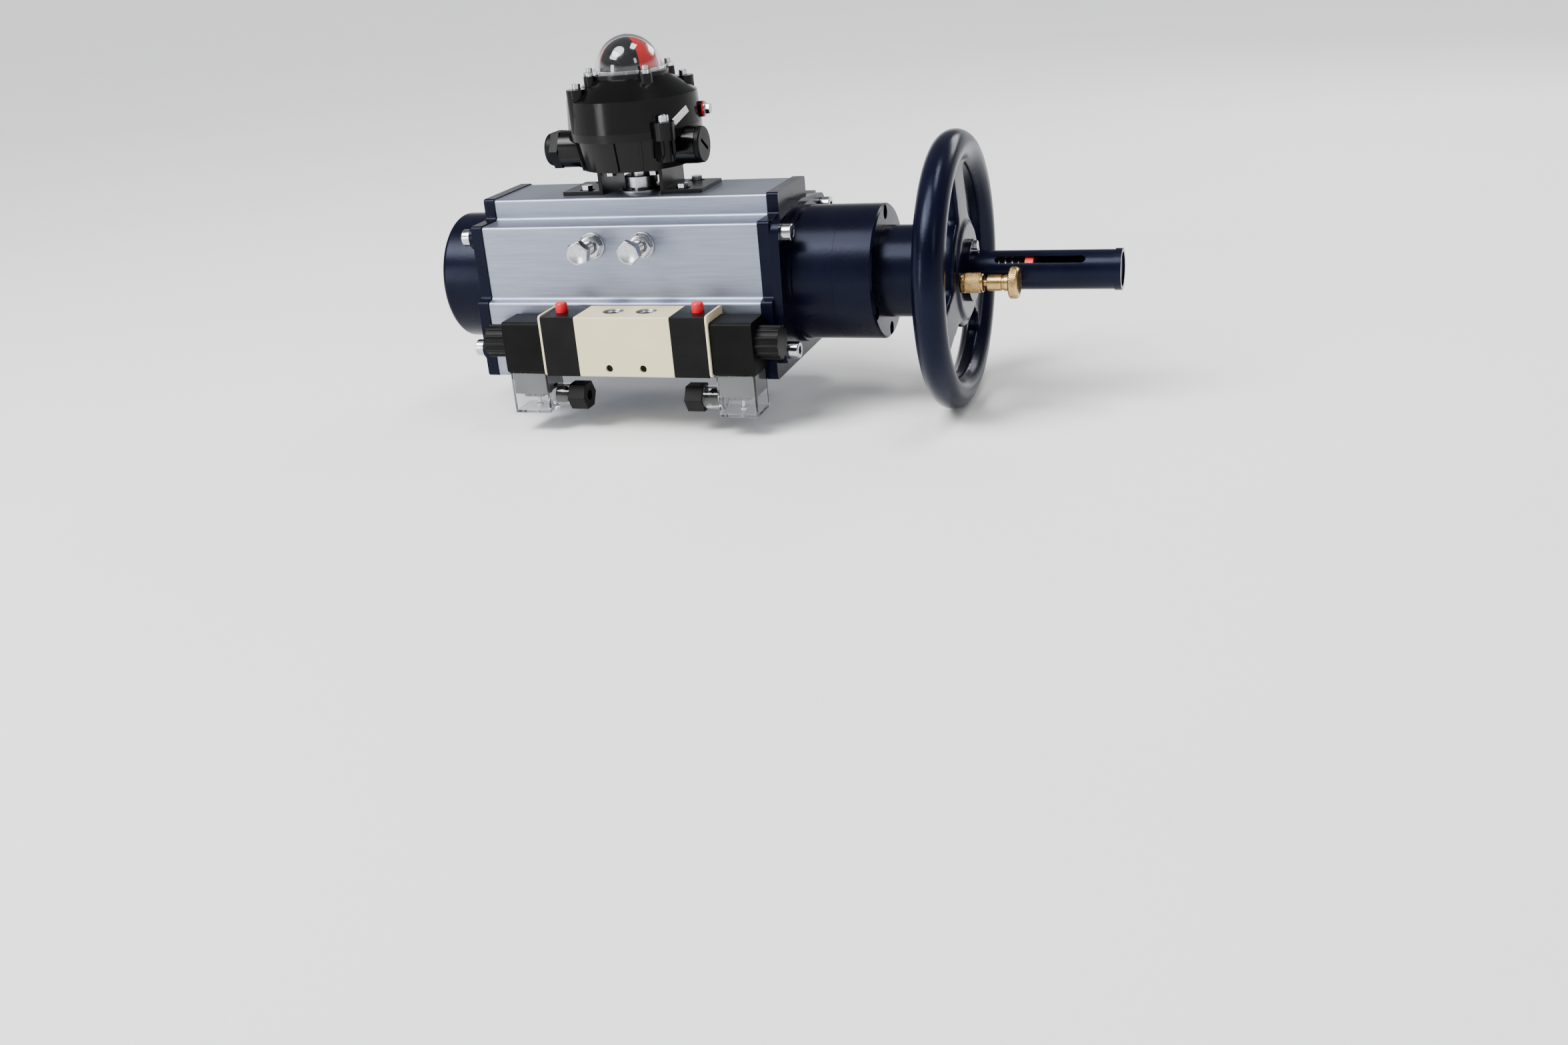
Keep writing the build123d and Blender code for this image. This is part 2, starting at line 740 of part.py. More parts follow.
with BuildPart() as guard_tube:
    with BuildSketch(Plane.YZ.offset(hub_end)):
        with Locations((0, axis_z)):
            Circle(flange_r)
    extrude(amount=flange_thickness)
    with BuildSketch(Plane.YZ.offset(hub_end)):
        with Locations((0, axis_z)):
            Circle(tube_r)
    extrude(amount=tube_end - hub_end)
    with BuildSketch(Plane.YZ.offset(tube_end)):
        with Locations((0, axis_z)):
            Circle(tube_r + 0.8)
    extrude(amount=-5)
    with BuildSketch(Plane.YZ.offset(hub_end)):
        with Locations((0, axis_z)):
            Circle(tube_r - tube_wall)
    extrude(amount=tube_end - hub_end, mode=Mode.SUBTRACT)
    # Sight slot on the upper front side
    slot_plane = Plane(origin=(slot_middle, 0, axis_z), x_dir=(1, 0, 0), z_dir=(0, -1, 1))
    with BuildSketch(slot_plane):
        SlotOverall(slot_length, slot_width)
    extrude(amount=20, mode=Mode.SUBTRACT)
    # Flange holes, and room for the lock plunger beside the flange
    with BuildSketch(Plane.YZ.offset(hub_end)):
        with Locations((0, axis_z)):
            with PolarLocations(hub_bolt_circle_r, 3, start_angle=90):
                Circle(2.2)
        with Locations((plunger_y, plunger_z)):
            Circle(plunger_r + 0.2)
    extrude(amount=flange_thickness, mode=Mode.SUBTRACT)
guard_tube.part.label = "guard_tube"
export_step(guard_tube.part, "parts/guard_tube.step")

with BuildPart() as hub_bolts:
    for k in range(3):
        angle = math.radians(90 + 120 * k)
        y = hub_bolt_circle_r * math.cos(angle)
        z = axis_z + hub_bolt_circle_r * math.sin(angle)
        with Locations(Location((hub_end + flange_thickness, y, z), (0, 90, 0))):
            add(hex_bolt(2, 12, 3))
hub_bolts.part.label = "hub_bolts"
export_step(hub_bolts.part, "parts/hub_bolts.step")

with BuildPart() as tube_plug:
    with BuildSketch(Plane.YZ.offset(tube_end - 7)):
        with Locations((0, axis_z)):
            Circle(tube_r - tube_wall)
    extrude(amount=5.5)
tube_plug.part.label = "tube_plug"
export_step(tube_plug.part, "parts/tube_plug.step")

# --------------------------------------------------------------- lock plunger
with BuildPart() as plunger_barrel:
    with BuildSketch(Plane.YZ.offset(hub_end)):
        with Locations((plunger_y, plunger_z)):
            Circle(plunger_r)
            Circle(pin_r + 0.1, mode=Mode.SUBTRACT)
    extrude(amount=barrel_length)
    # Counterbore that the knob's sleeve slides into
    with BuildSketch(Plane.YZ.offset(hub_end + barrel_length)):
        with Locations((plunger_y, plunger_z)):
            Circle(pull_r + 0.2)
    extrude(amount=-lock_travel, mode=Mode.SUBTRACT)
    chamfer(plunger_barrel.edges().filter_by(GeomType.CIRCLE).sort_by(Axis.X)[-2:].sort_by(SortBy.RADIUS)[-1], 0.6)
plunger_barrel.part.label = "plunger_barrel"
export_step(plunger_barrel.part, "parts/plunger_barrel.step")

with BuildPart() as lock_pin:
    with BuildSketch(Plane.YZ.offset(pin_tip)):
        with Locations((plunger_y, plunger_z)):
            Circle(pin_r)
    extrude(amount=pull_start + 1 - pin_tip)
    with BuildSketch(Plane.YZ.offset(pull_start)):
        with Locations((plunger_y, plunger_z)):
            Circle(pull_r)
    extrude(amount=knob_start + 1 - pull_start)
    with BuildSketch(Plane.YZ.offset(knob_start)):
        with Locations((plunger_y, plunger_z)):
            Circle(knob_r)
    extrude(amount=knob_end - knob_start)
    chamfer(lock_pin.edges().filter_by(GeomType.CIRCLE).sort_by(Axis.X)[-1], 0.8)
lock_pin.part.label = "lock_pin"
export_step(lock_pin.part, "parts/lock_pin.step")

# ------------------------------------------------------------ switch bracket
with BuildPart() as switch_bracket:
    with BuildSketch(Plane.XZ):
        with Locations((0, box_floor)):
            Rectangle(bracket_top_length, sheet, align=(Align.CENTER, Align.MAX))
        for side in (-1, 1):
            with Locations((side * (bracket_top_length - sheet) / 2, body_height)):
                Rectangle(sheet, bracket_height, align=(Align.CENTER, Align.MIN))
            with Locations((side * foot_x, body_height)):
                Rectangle(bracket_foot_length, sheet, align=(Align.CENTER, Align.MIN))
    extrude(amount=bracket_depth / 2, both=True)
    with BuildSketch(Plane.XY.offset(body_height)):
        with GridLocations(bracket_pitch_x, bracket_pitch_y, 2, 2):
            SlotOverall(13, 5.6)
    extrude(amount=sheet, mode=Mode.SUBTRACT)
    with BuildSketch(Plane.XY.offset(box_floor)):
        Circle(15)
        with GridLocations(box_screw_pitch_x, box_screw_pitch_y, 2, 2):
            Circle(2.7)
    extrude(amount=-sheet, mode=Mode.SUBTRACT)
switch_bracket.part.label = "switch_bracket"
export_step(switch_bracket.part, "parts/switch_bracket.step")

with BuildPart() as bracket_screws:
    for x in (-bracket_pitch_x / 2, bracket_pitch_x / 2):
        for y in (-bracket_pitch_y / 2, bracket_pitch_y / 2):
            with Locations((x, y, body_height + sheet)):
                add(hex_bolt(small_screw_r, 12, 3.5))
    for x in (-box_screw_pitch_x / 2, box_screw_pitch_x / 2):
        for y in (-box_screw_pitch_y / 2, box_screw_pitch_y / 2):
            with Locations(Location((x, y, box_floor - sheet), (180, 0, 0))):
                add(hex_bolt(small_screw_r, 8, 3.5))
bracket_screws.part.label = "bracket_screws"
export_step(bracket_screws.part, "parts/bracket_screws.step")

# ---------------------------------------------------------------- switch box
low_bolt_points = ((40.5, -40.5), (-40.5, 40.5))
high_bolt_points = ((-31, -31), (31, 31))
with BuildPart() as box_base:
    with BuildSketch(Plane.XY.offset(box_floor)):
        Circle(44)
    with BuildSketch(Plane.XY.offset(box_joint)):
        Circle(50)
    loft()
    # Side entries for the cables
    with BuildSketch(Plane.YZ):
        with Locations((entry_y, entry_z)):
            Circle(entry_r)
    extrude(amount=entry_x, both=True)
    # Joint flange and the two low screw lugs
    with BuildSketch(Plane.XY.offset(box_joint)):
        Circle(box_r)
        with Locations(*low_bolt_points):
            Circle(8)
    extrude(amount=-6)
    with BuildSketch(Plane.XY.offset(box_joint)):
        with Locations(*low_bolt_points):
            Circle(5)
    extrude(amount=-22)
    with BuildSketch(Plane.XY.offset(box_floor + 6)):
        Circle(39)
    extrude(amount=box_joint - box_floor - 6, mode=Mode.SUBTRACT)
    with BuildSketch(Plane.YZ):
        with Locations((entry_y, entry_z)):
            Circle(plug_r + thread_gap)
    extrude(amount=entry_x, both=True, mode=Mode.SUBTRACT)
    with BuildSketch(Plane.XY.offset(box_floor)):
        Circle(8)
    extrude(amount=6, mode=Mode.SUBTRACT)
    with BuildSketch(Plane.XY.offset(box_floor)):
        with GridLocations(box_screw_pitch_x, box_screw_pitch_y, 2, 2):
            Circle(small_screw_r + thread_gap)
    extrude(amount=5.5, mode=Mode.SUBTRACT)
    with BuildSketch(Plane.XY.offset(box_joint)):
        with Locations(*low_bolt_points):
            Circle(small_screw_r + thread_gap)
    extrude(amount=-18, mode=Mode.SUBTRACT)
    with BuildSketch(Plane.XY.offset(box_joint)):
        with Locations(*high_bolt_points):
            Circle(2 + thread_gap)
    extrude(amount=-10, mode=Mode.SUBTRACT)
box_base.part.label = "box_base"
export_step(box_base.part, "parts/box_base.step")

with BuildPart() as box_cover:
    with BuildSketch(Plane.XZ):
        with BuildLine():
            Polyline(
                (0, box_joint),
                (box_r, box_joint),
                (box_r - 1.5, box_shoulder),
                (30, box_top - 3),
                (30, box_top),
                (0, box_top),
                close=True,
            )
        make_face()
    revolve(axis=Axis.Z)
    # Low lugs carry the joint screws
    with BuildSketch(Plane.XY.offset(box_joint)):
        with Locations(*low_bolt_points):
            Circle(8)
    extrude(amount=7)
    # High screw towers stand on the cone
    with BuildSketch(Plane.XY.offset(box_joint)):
        with Locations(*high_bolt_points):
            Circle(8)
    extrude(amount=box_shoulder + 9 - box_joint)
    # Pad for the earth terminal
    with BuildSketch(Plane.YZ.offset(earth_x)):
        with Locations((earth_y, earth_z)):
            Circle(6)
    extrude(amount=-4)
    # Feet for the dome screws
    with BuildSketch(Plane.XY.offset(box_shoulder)):
        with PolarLocations(dome_screw_circle_r, 4, start_angle=45):
            Circle(5)
    extrude(amount=box_top - box_shoulder)
    with BuildSketch(Plane.XZ):
        with BuildLine():
            Polyline(
                (0, box_joint),
                (box_r - 5, box_joint),
                (box_r - 6, box_shoulder - 3),
                (24, box_top - 6),
                (0, box_top - 6),
                close=True,
            )
        make_face()
    revolve(axis=Axis.Z, mode=Mode.SUBTRACT)
    # High towers stay solid inside down to the joint
    with BuildSketch(Plane.XY.offset(box_joint)):
        with Locations(*high_bolt_points):
            Circle(6)
    extrude(amount=box_shoulder - 2 - box_joint)
    with BuildSketch(Plane.XY.offset(box_joint)):
        Circle(6)
        with Locations(*high_bolt_points):
            Circle(2.3)
        with Locations(*low_bolt_points):
            Circle(2.7)
    extrude(amount=60, mode=Mode.SUBTRACT)
    with BuildSketch(Plane.XY.offset(box_top)):
        with PolarLocations(dome_screw_circle_r, 4, start_angle=45):
            Circle(1.5 + thread_gap)
    extrude(amount=-9, mode=Mode.SUBTRACT)
box_cover.part.label = "box_cover"
export_step(box_cover.part, "parts/box_cover.step")

with BuildPart() as cover_screws:
    for x, y in low_bolt_points:
        with Locations((x, y, box_joint + 7)):
            add(socket_screw(small_screw_r, 20))
    for x, y in high_bolt_points:
        with Locations((x, y, box_shoulder + 9)):
            add(socket_screw(2, 38))
cover_screws.part.label = "cover_screws"
export_step(cover_screws.part, "parts/cover_screws.step")

with BuildPart() as indicator_dome:
    with BuildSketch(Plane.XY.offset(box_top)):
        Circle(dome_r + 3)
        with PolarLocations(dome_screw_circle_r, 4, start_angle=45):
            Circle(4.5)
        Circle(dome_r - dome_wall, mode=Mode.SUBTRACT)
        with PolarLocations(dome_screw_circle_r, 4, start_angle=45):
            Circle(1.7, mode=Mode.SUBTRACT)
    extrude(amount=3)
    with BuildSketch(Plane.XZ):
        with BuildLine():
            CenterArc((0, box_top + 2), dome_r, 0, 90)
            CenterArc((0, box_top + 2), dome_r - dome_wall, 0, 90)
            Line((dome_r - dome_wall, box_top + 2), (dome_r, box_top + 2))
            Line((0, box_top + 2 + dome_r - dome_wall), (0, box_top + 2 + dome_r))
        make_face()
    revolve(axis=Axis.Z)
indicator_dome.part.label = "indicator_dome"
export_step(indicator_dome.part, "parts/indicator_dome.step")

with BuildPart() as dome_screws:
    for k in range(4):
        angle = math.radians(45 + 90 * k)
        x = dome_screw_circle_r * math.cos(angle)
        y = dome_screw_circle_r * math.sin(angle)
        with Locations((x, y, box_top + 3)):
            add(socket_screw(1.5, 9))
dome_screws.part.label = "dome_screws"
export_step(dome_screws.part, "parts/dome_screws.step")

# Spindle, cams and position indicator turn with the drive shaft
with BuildPart() as box_spindle:
    with BuildSketch(Plane.XY.offset(shaft_top - 6)):
        Rectangle(22, 3.8)
    extrude(amount=6)
    with BuildSketch(Plane.XY.offset(shaft_top)):
        Circle(7.5)
    extrude(amount=14)
    with BuildSketch(Plane.XY.offset(shaft_top)):
        Circle(5)
    extrude(amount=indicator_z - shaft_top)
box_spindle.part.label = "box_spindle"
export_step(box_spindle.part, "parts/box_spindle.step")

with BuildPart() as switch_cams:
    for level, turn in ((188, 0), (197, 90)):
        with BuildSketch(Plane.XY.offset(level)):
            Circle(10)
            with PolarLocations(0, 1, start_angle=turn):
                with Locations((6, 0)):
                    Circle(7)
            Circle(5, mode=Mode.SUBTRACT)
        extrude(amount=5)
switch_cams.part.label = "switch_cams"
export_step(switch_cams.part, "parts/switch_cams.step")

for name, first in (("red", 0), ("black", 90)):
    with BuildPart() as indicator:
        with BuildSketch(Plane.XY.offset(indicator_z)):
            for turn in (first, first + 180):
                with BuildLine():
                    CenterArc((0, 0), indicator_r, turn - 45, 90)
                    Line((0, 0), PolarLine((0, 0), indicator_r, turn - 45) @ 1)
                    Line((0, 0), PolarLine((0, 0), indicator_r, turn + 45) @ 1)
                make_face()
        extrude(amount=30)
        with Locations((0, 0, indicator_z)):
            Sphere(indicator_r, mode=Mode.INTERSECT)
    indicator.part.label = f"indicator_{name}"
    export_step(indicator.part, f"parts/indicator_{name}.step")

with BuildPart() as microswitches:
    for level in (186.5, 195.5):
        with Locations((-24, 16, level)):
            Box(10, 28, 8, align=(Align.CENTER, Align.CENTER, Align.MIN))
microswitches.part.label = "microswitches"
export_step(microswitches.part, "parts/microswitches.step")

# Blanking plugs in the two cable entries
with BuildPart() as left_cable_plug:
    with BuildSketch(Plane.YZ.offset(-entry_x)):
        with Locations((entry_y, entry_z)):
            Circle(plug_r)
    extrude(amount=12)
    with BuildSketch(Plane.YZ.offset(-entry_x)):
        with Locations((entry_y, entry_z)):
            RegularPolygon(13.5, 6, major_radius=False)
    extrude(amount=-7)
    with BuildSketch(Plane.YZ.offset(-entry_x - 7)):
        with Locations((entry_y, entry_z)):
            Circle(12.5)
    extrude(amount=-6)
    fillet(left_cable_plug.edges().filter_by(GeomType.CIRCLE).sort_by(Axis.X)[0], 3)
left_cable_plug.part.label = "left_cable_plug"
export_step(left_cable_plug.part, "parts/left_cable_plug.step")

with BuildPart() as right_cable_plug:
    with BuildSketch(Plane.YZ.offset(entry_x)):
        with Locations((entry_y, entry_z)):
            Circle(plug_r)
    extrude(amount=-12)
    with BuildSketch(Plane.YZ.offset(entry_x)):
        with Locations((entry_y, entry_z)):
            Circle(13.5)
    extrude(amount=4)
    chamfer(right_cable_plug.edges().filter_by(GeomType.CIRCLE).sort_by(Axis.X)[-1], 0.8)
    with BuildSketch(Plane.YZ.offset(entry_x + 4)):
        with Locations((entry_y, entry_z)):
            Rectangle(15, 2.4, rotation=-35)
    extrude(amount=-2, mode=Mode.SUBTRACT)
right_cable_plug.part.label = "right_cable_plug"
export_step(right_cable_plug.part, "parts/right_cable_plug.step")

# Earth terminal on the outside of the skirt
with BuildPart() as earth_terminal:
    with BuildSketch(Plane.YZ.offset(earth_x)):
        with Locations((earth_y, earth_z)):
            Circle(5)
    extrude(amount=2)
    with BuildSketch(Plane.YZ.offset(earth_x + 2)):
        with Locations((earth_y, earth_z)):
            RegularPolygon(3.5, 6, major_radius=False)
    extrude(amount=3.5)
earth_terminal.part.label = "earth_terminal"
export_step(earth_terminal.part, "parts/earth_terminal.step")

# -------------------------------------------------------------- valve body
with BuildPart() as valve_body:
    with BuildSketch(Plane.XZ.offset(-valve_back)):
        with Locations((valve_x, valve_z)):
            Rectangle(2 * valve_half, valve_high - valve_low)
    extrude(amount=valve_depth)
    chamfer(valve_body.edges().filter_by(Axis.X), 0.8)
    # Spool bore
    with BuildSketch(Plane.YZ.offset(valve_x)):
        with Locations((valve_y, valve_z)):
            Circle(spool_r)
    extrude(amount=valve_half, both=True, mode=Mode.SUBTRACT)
    # Exhaust ports on top and supply port below
    with BuildSketch(Plane.XY.offset(valve_high)):
        with Locations(*top_port_points):
            Circle(port_r)
    extrude(amount=-12, mode=Mode.SUBTRACT)
    with BuildSketch(Plane.XY.offset(valve_low)):
        with Locations((valve_x, valve_y)):
            Circle(port_r)
    extrude(amount=12, mode=Mode.SUBTRACT)
    # Air passages with seal grooves on the back face
    with BuildSketch(Plane.XZ.offset(-valve_back)):
        with Locations(*air_hole_points):
            Circle(air_hole_r)
    extrude(amount=11, mode=Mode.SUBTRACT)
    with BuildSketch(Plane.XZ.offset(-valve_back)):
        with Locations(*air_hole_points):
            Circle(6.6)
    extrude(amount=1.5, mode=Mode.SUBTRACT)
    # Fixing holes, counterbored from the front
    with BuildSketch(Plane.XZ.offset(-valve_back)):
        with Locations(*valve_screw_points):
            Circle(1.7)
    extrude(amount=valve_depth, mode=Mode.SUBTRACT)
    with BuildSketch(Plane.XZ.offset(-valve_back + 12)):
        with Locations(*valve_screw_points):
            Circle(2.9)
    extrude(amount=valve_depth, mode=Mode.SUBTRACT)
valve_body.part.label = "valve_body"
export_step(valve_body.part, "parts/valve_body.step")

with BuildPart() as valve_screws:
    for x, z in valve_screw_points:
        with Locations(Location((x, valve_back - 12, z), (90, 0, 0))):
            add(socket_screw(1.5, 22))
valve_screws.part.label = "valve_screws"
export_step(valve_screws.part, "parts/valve_screws.step")

with BuildPart() as port_seals:
    with BuildSketch(Plane.XZ.offset(-valve_back)):
        with Locations(*air_hole_points):
            Circle(6.5)
            Circle(4.5, mode=Mode.SUBTRACT)
    extrude(amount=1.4)
port_seals.part.label = "port_seals"
export_step(port_seals.part, "parts/port_seals.step")

with BuildPart() as valve_spool:
    with BuildSketch(Plane.YZ.offset(valve_x)):
        with Locations((valve_y, valve_z)):
            Circle(5)
    extrude(amount=34, both=True)
    for centre in (-30, -15, 0, 15, 30):
        with BuildSketch(Plane.YZ.offset(valve_x + centre)):
            with Locations((valve_y, valve_z)):
                Circle(spool_r - thread_gap)
        extrude(amount=3.5, both=True)
valve_spool.part.label = "valve_spool"
export_step(valve_spool.part, "parts/valve_spool.step")

# ----------------------------------------- pilots, coils and their connectors
coil_start = valve_half + pilot_length + plate_thickness
coil_end = coil_start + coil_length
coil_middle = (coil_start + coil_end) / 2


def valve_side(side, distance):
    """Plane across the valve, at a distance from its middle on one side."""
    return Plane.YZ.offset(valve_x + side * distance)


for side, name in ((-1, "left"), (1, "right")):
    with BuildPart() as pilot_block:
        with BuildSketch(valve_side(side, valve_half)):
            with Locations((valve_y, valve_z)):
                Rectangle(valve_depth, valve_high - valve_low)
        extrude(amount=side * pilot_length)
        with BuildSketch(Plane.XY.offset(valve_high)):
            with Locations((valve_x + side * button_offset, valve_y)):
                Circle(button_r + 0.15)
        extrude(amount=-10, mode=Mode.SUBTRACT)
    pilot_block.part.label = f"{name}_pilot_block"
    export_step(pilot_block.part, f"parts/{name}_pilot_block.step")

    with BuildPart() as button:
        with BuildSketch(Plane.XY.offset(valve_high - button_depth)):
            with Locations((valve_x + side * button_offset, valve_y)):
                Circle(button_r)
        extrude(amount=button_depth + button_height)
        fillet(button.edges().sort_by(Axis.Z)[-1], 2)
    button.part.label = f"{name}_button"
    export_step(button.part, f"parts/{name}_button.step")

    with BuildPart() as coil:
        with BuildSketch(valve_side(side, coil_start)):
            with Locations((valve_y, (coil_low + coil_high) / 2)):
                RectangleRounded(30, coil_high - coil_low, 3)
        extrude(amount=side * coil_length)
        with BuildSketch(valve_side(side, coil_start)):
            with Locations((valve_y, valve_z)):
                Circle(5.1)
        extrude(amount=side * coil_length, mode=Mode.SUBTRACT)
    coil.part.label = f"{name}_coil"
    export_step(coil.part, f"parts/{name}_coil.step")

    # Clear plug-in connector below the coil, with its gland facing inwards
    connector_x = valve_x + side * coil_middle
    with BuildPart() as connector:
        with BuildSketch(Plane.XY.offset(coil_low)):
            with Locations((connector_x, valve_y)):
                RectangleRounded(31, 28, 2)
        extrude(amount=connector_low - coil_low)
        with BuildSketch(valve_side(side, coil_start + 2)):
            with Locations((valve_y, gland_z)):
                Circle(barrel_r)
        extrude(amount=-side * 15)
        with BuildSketch(Plane.XY.offset(coil_low)):
            with Locations((connector_x, valve_y)):
                Rectangle(31 - 2 * connector_wall, 28 - 2 * connector_wall)
        extrude(amount=connector_low - coil_low + connector_wall, mode=Mode.SUBTRACT)
        with BuildSketch(valve_side(side, coil_start + 4)):
            with Locations((valve_y, gland_z)):
                Circle(barrel_r - connector_wall)
        extrude(amount=-side * 20, mode=Mode.SUBTRACT)
        with BuildSketch(Plane.XY.offset(connector_low)):
            with Locations((connector_x, valve_y)):
                Circle(1.6)
        extrude(amount=connector_wall, mode=Mode.SUBTRACT)
    connector.part.label = f"{name}_connector"
    export_step(connector.part, f"parts/{name}_connector.step")

with BuildPart() as end_plates:
    for side in (-1, 1):
        with BuildSketch(valve_side(side, valve_half + pilot_length)):
            with Locations((valve_y, valve_z + 0.5)):
                RectangleRounded(valve_depth - 0.2, valve_high - valve_low + 1, 3)
        extrude(amount=side * plate_thickness)
end_plates.part.label = "end_plates"
export_step(end_plates.part, "parts/end_plates.step")

with BuildPart() as coil_knobs:
    for side in (-1, 1):
        with BuildSketch(valve_side(side, coil_end)):
            with Locations((valve_y, valve_z)):
                Circle(knob_grip_r)
                with PolarLocations(knob_grip_r, 12):
                    Circle(1.3)
        extrude(amount=side * knob_length)
        with BuildSketch(valve_side(side, coil_start)):
            with Locations((valve_y, valve_z)):
                Circle(5)
        extrude(amount=side * coil_length)
coil_knobs.part.label = "coil_knobs"
export_step(coil_knobs.part, "parts/coil_knobs.step")

with BuildPart() as terminal_blocks:
    with BuildSketch(Plane.XY.offset(coil_low)):
        with Locations((valve_x - coil_middle, valve_y), (valve_x + coil_middle, valve_y)):
            Rectangle(26.8, 23.8)
    extrude(amount=-17)
terminal_blocks.part.label = "terminal_blocks"
export_step(terminal_blocks.part, "parts/terminal_blocks.step")

with BuildPart() as gland_nuts:
    for side in (-1, 1):
        with BuildSketch(valve_side(side, coil_start - 13)):
            with Locations((valve_y, gland_z)):
                RegularPolygon(9.8, 6, major_radius=False)
                Circle(4, mode=Mode.SUBTRACT)
        extrude(amount=-side * gland_length)
gland_nuts.part.label = "gland_nuts"
export_step(gland_nuts.part, "parts/gland_nuts.step")
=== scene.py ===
import json
import math

import bmesh
import bpy
from mathutils import Matrix, Vector


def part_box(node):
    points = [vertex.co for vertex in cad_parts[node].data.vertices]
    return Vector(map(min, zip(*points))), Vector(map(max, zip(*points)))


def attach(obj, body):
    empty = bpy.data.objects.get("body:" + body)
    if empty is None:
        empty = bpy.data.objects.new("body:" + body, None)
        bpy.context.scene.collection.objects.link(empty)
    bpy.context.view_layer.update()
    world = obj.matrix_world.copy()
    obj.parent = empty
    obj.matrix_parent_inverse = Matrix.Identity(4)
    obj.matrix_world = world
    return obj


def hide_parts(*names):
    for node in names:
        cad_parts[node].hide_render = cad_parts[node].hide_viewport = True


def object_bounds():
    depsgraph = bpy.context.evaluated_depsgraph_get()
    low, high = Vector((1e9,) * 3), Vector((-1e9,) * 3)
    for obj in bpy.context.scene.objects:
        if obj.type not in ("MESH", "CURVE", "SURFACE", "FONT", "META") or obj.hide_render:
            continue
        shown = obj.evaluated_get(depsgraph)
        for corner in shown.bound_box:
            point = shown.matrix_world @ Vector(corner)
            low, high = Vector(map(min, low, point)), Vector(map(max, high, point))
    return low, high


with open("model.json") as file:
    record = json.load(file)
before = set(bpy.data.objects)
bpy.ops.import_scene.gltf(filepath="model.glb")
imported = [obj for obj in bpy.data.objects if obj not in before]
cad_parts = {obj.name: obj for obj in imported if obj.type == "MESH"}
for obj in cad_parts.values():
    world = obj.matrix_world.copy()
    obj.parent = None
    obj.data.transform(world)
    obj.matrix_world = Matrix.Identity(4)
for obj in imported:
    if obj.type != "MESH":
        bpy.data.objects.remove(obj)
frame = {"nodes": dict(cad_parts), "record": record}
cad_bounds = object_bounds()
nodes = frame["nodes"]
MM = 0.001


# ------------------------------------------------------------------ materials
materials = {}


def new_material(name):
    """A node material with its principled shader, kept under its own name."""
    mat = bpy.data.materials.new(name)
    mat.use_nodes = True
    materials[name] = mat
    return mat.node_tree, mat.node_tree.nodes["Principled BSDF"]


def mapped_noise(tree, scale, detail, stretch=(1, 1, 1), roughness=0.5):
    """Noise over the object's own coordinates, stretched along the axes."""
    coord = tree.nodes.new("ShaderNodeTexCoord")
    mapping = tree.nodes.new("ShaderNodeMapping")
    mapping.inputs["Scale"].default_value = stretch
    noise = tree.nodes.new("ShaderNodeTexNoise")
    noise.inputs["Scale"].default_value = scale
    noise.inputs["Detail"].default_value = detail
    noise.inputs["Roughness"].default_value = roughness
    tree.links.new(coord.outputs["Object"], mapping.inputs["Vector"])
    tree.links.new(mapping.outputs["Vector"], noise.inputs["Vector"])
    return noise.outputs["Fac"]


def ramp(tree, source, low, high, start=0.3, end=0.7):
    """A colour ramp from low to high over part of the source's range."""
    node = tree.nodes.new("ShaderNodeValToRGB")
    node.color_ramp.elements[0].position = start
    node.color_ramp.elements[1].position = end
    node.color_ramp.elements[0].color = (*low, 1)
    node.color_ramp.elements[1].color = (*high, 1)
    tree.links.new(source, node.inputs["Fac"])
    return node.outputs["Color"]


def value_range(tree, source, low, high):
    """Maps a 0..1 source onto low..high."""
    node = tree.nodes.new("ShaderNodeMapRange")
    node.inputs["To Min"].default_value = low
    node.inputs["To Max"].default_value = high
    tree.links.new(source, node.inputs["Value"])
    return node.outputs["Result"]


def bump(tree, shader, source, strength, distance):
    """Bump on the shader's normal."""
    node = tree.nodes.new("ShaderNodeBump")
    node.inputs["Strength"].default_value = strength
    node.inputs["Distance"].default_value = distance
    tree.links.new(source, node.inputs["Height"])
    tree.links.new(node.outputs["Normal"], shader.inputs["Normal"])


def painted(name, low, high, rough, peel=0.1, peel_scale=420, gloss=0.12, tint=(1, 1, 1)):
    """Sprayed paint: slight colour drift, handling smudges and orange peel."""
    tree, shader = new_material(name)
    tree.links.new(ramp(tree, mapped_noise(tree, 22, 5), low, high), shader.inputs["Base Color"])
    smudge = mapped_noise(tree, 35, 6, roughness=0.65)
    tree.links.new(value_range(tree, smudge, *rough), shader.inputs["Roughness"])
    shader.inputs["Specular IOR Level"].default_value = gloss
    shader.inputs["Specular Tint"].default_value = (*tint, 1)
    bump(tree, shader, mapped_noise(tree, peel_scale, 2), peel, 0.4 * MM)


def metal(name, low, high, rough, scale, stretch=(1, 1, 1), strength=0.08, metallic=1.0):
    """Bare or plated metal with machining grain."""
    tree, shader = new_material(name)
    grain = mapped_noise(tree, scale, 6, stretch, 0.6)
    tree.links.new(ramp(tree, grain, low, high), shader.inputs["Base Color"])
    tree.links.new(value_range(tree, grain, *rough), shader.inputs["Roughness"])
    shader.inputs["Metallic"].default_value = metallic
    bump(tree, shader, grain, strength, 0.3 * MM)


def plastic(name, low, high, rough=(0.35, 0.5), gloss=0.25):
    """Moulded plastic with a fine spark-eroded grain."""
    tree, shader = new_material(name)
    tree.links.new(ramp(tree, mapped_noise(tree, 40, 4), low, high), shader.inputs["Base Color"])
    tree.links.new(value_range(tree, mapped_noise(tree, 60, 5), *rough), shader.inputs["Roughness"])
    shader.inputs["Specular IOR Level"].default_value = gloss
    bump(tree, shader, mapped_noise(tree, 900, 2), 0.1, 0.2 * MM)


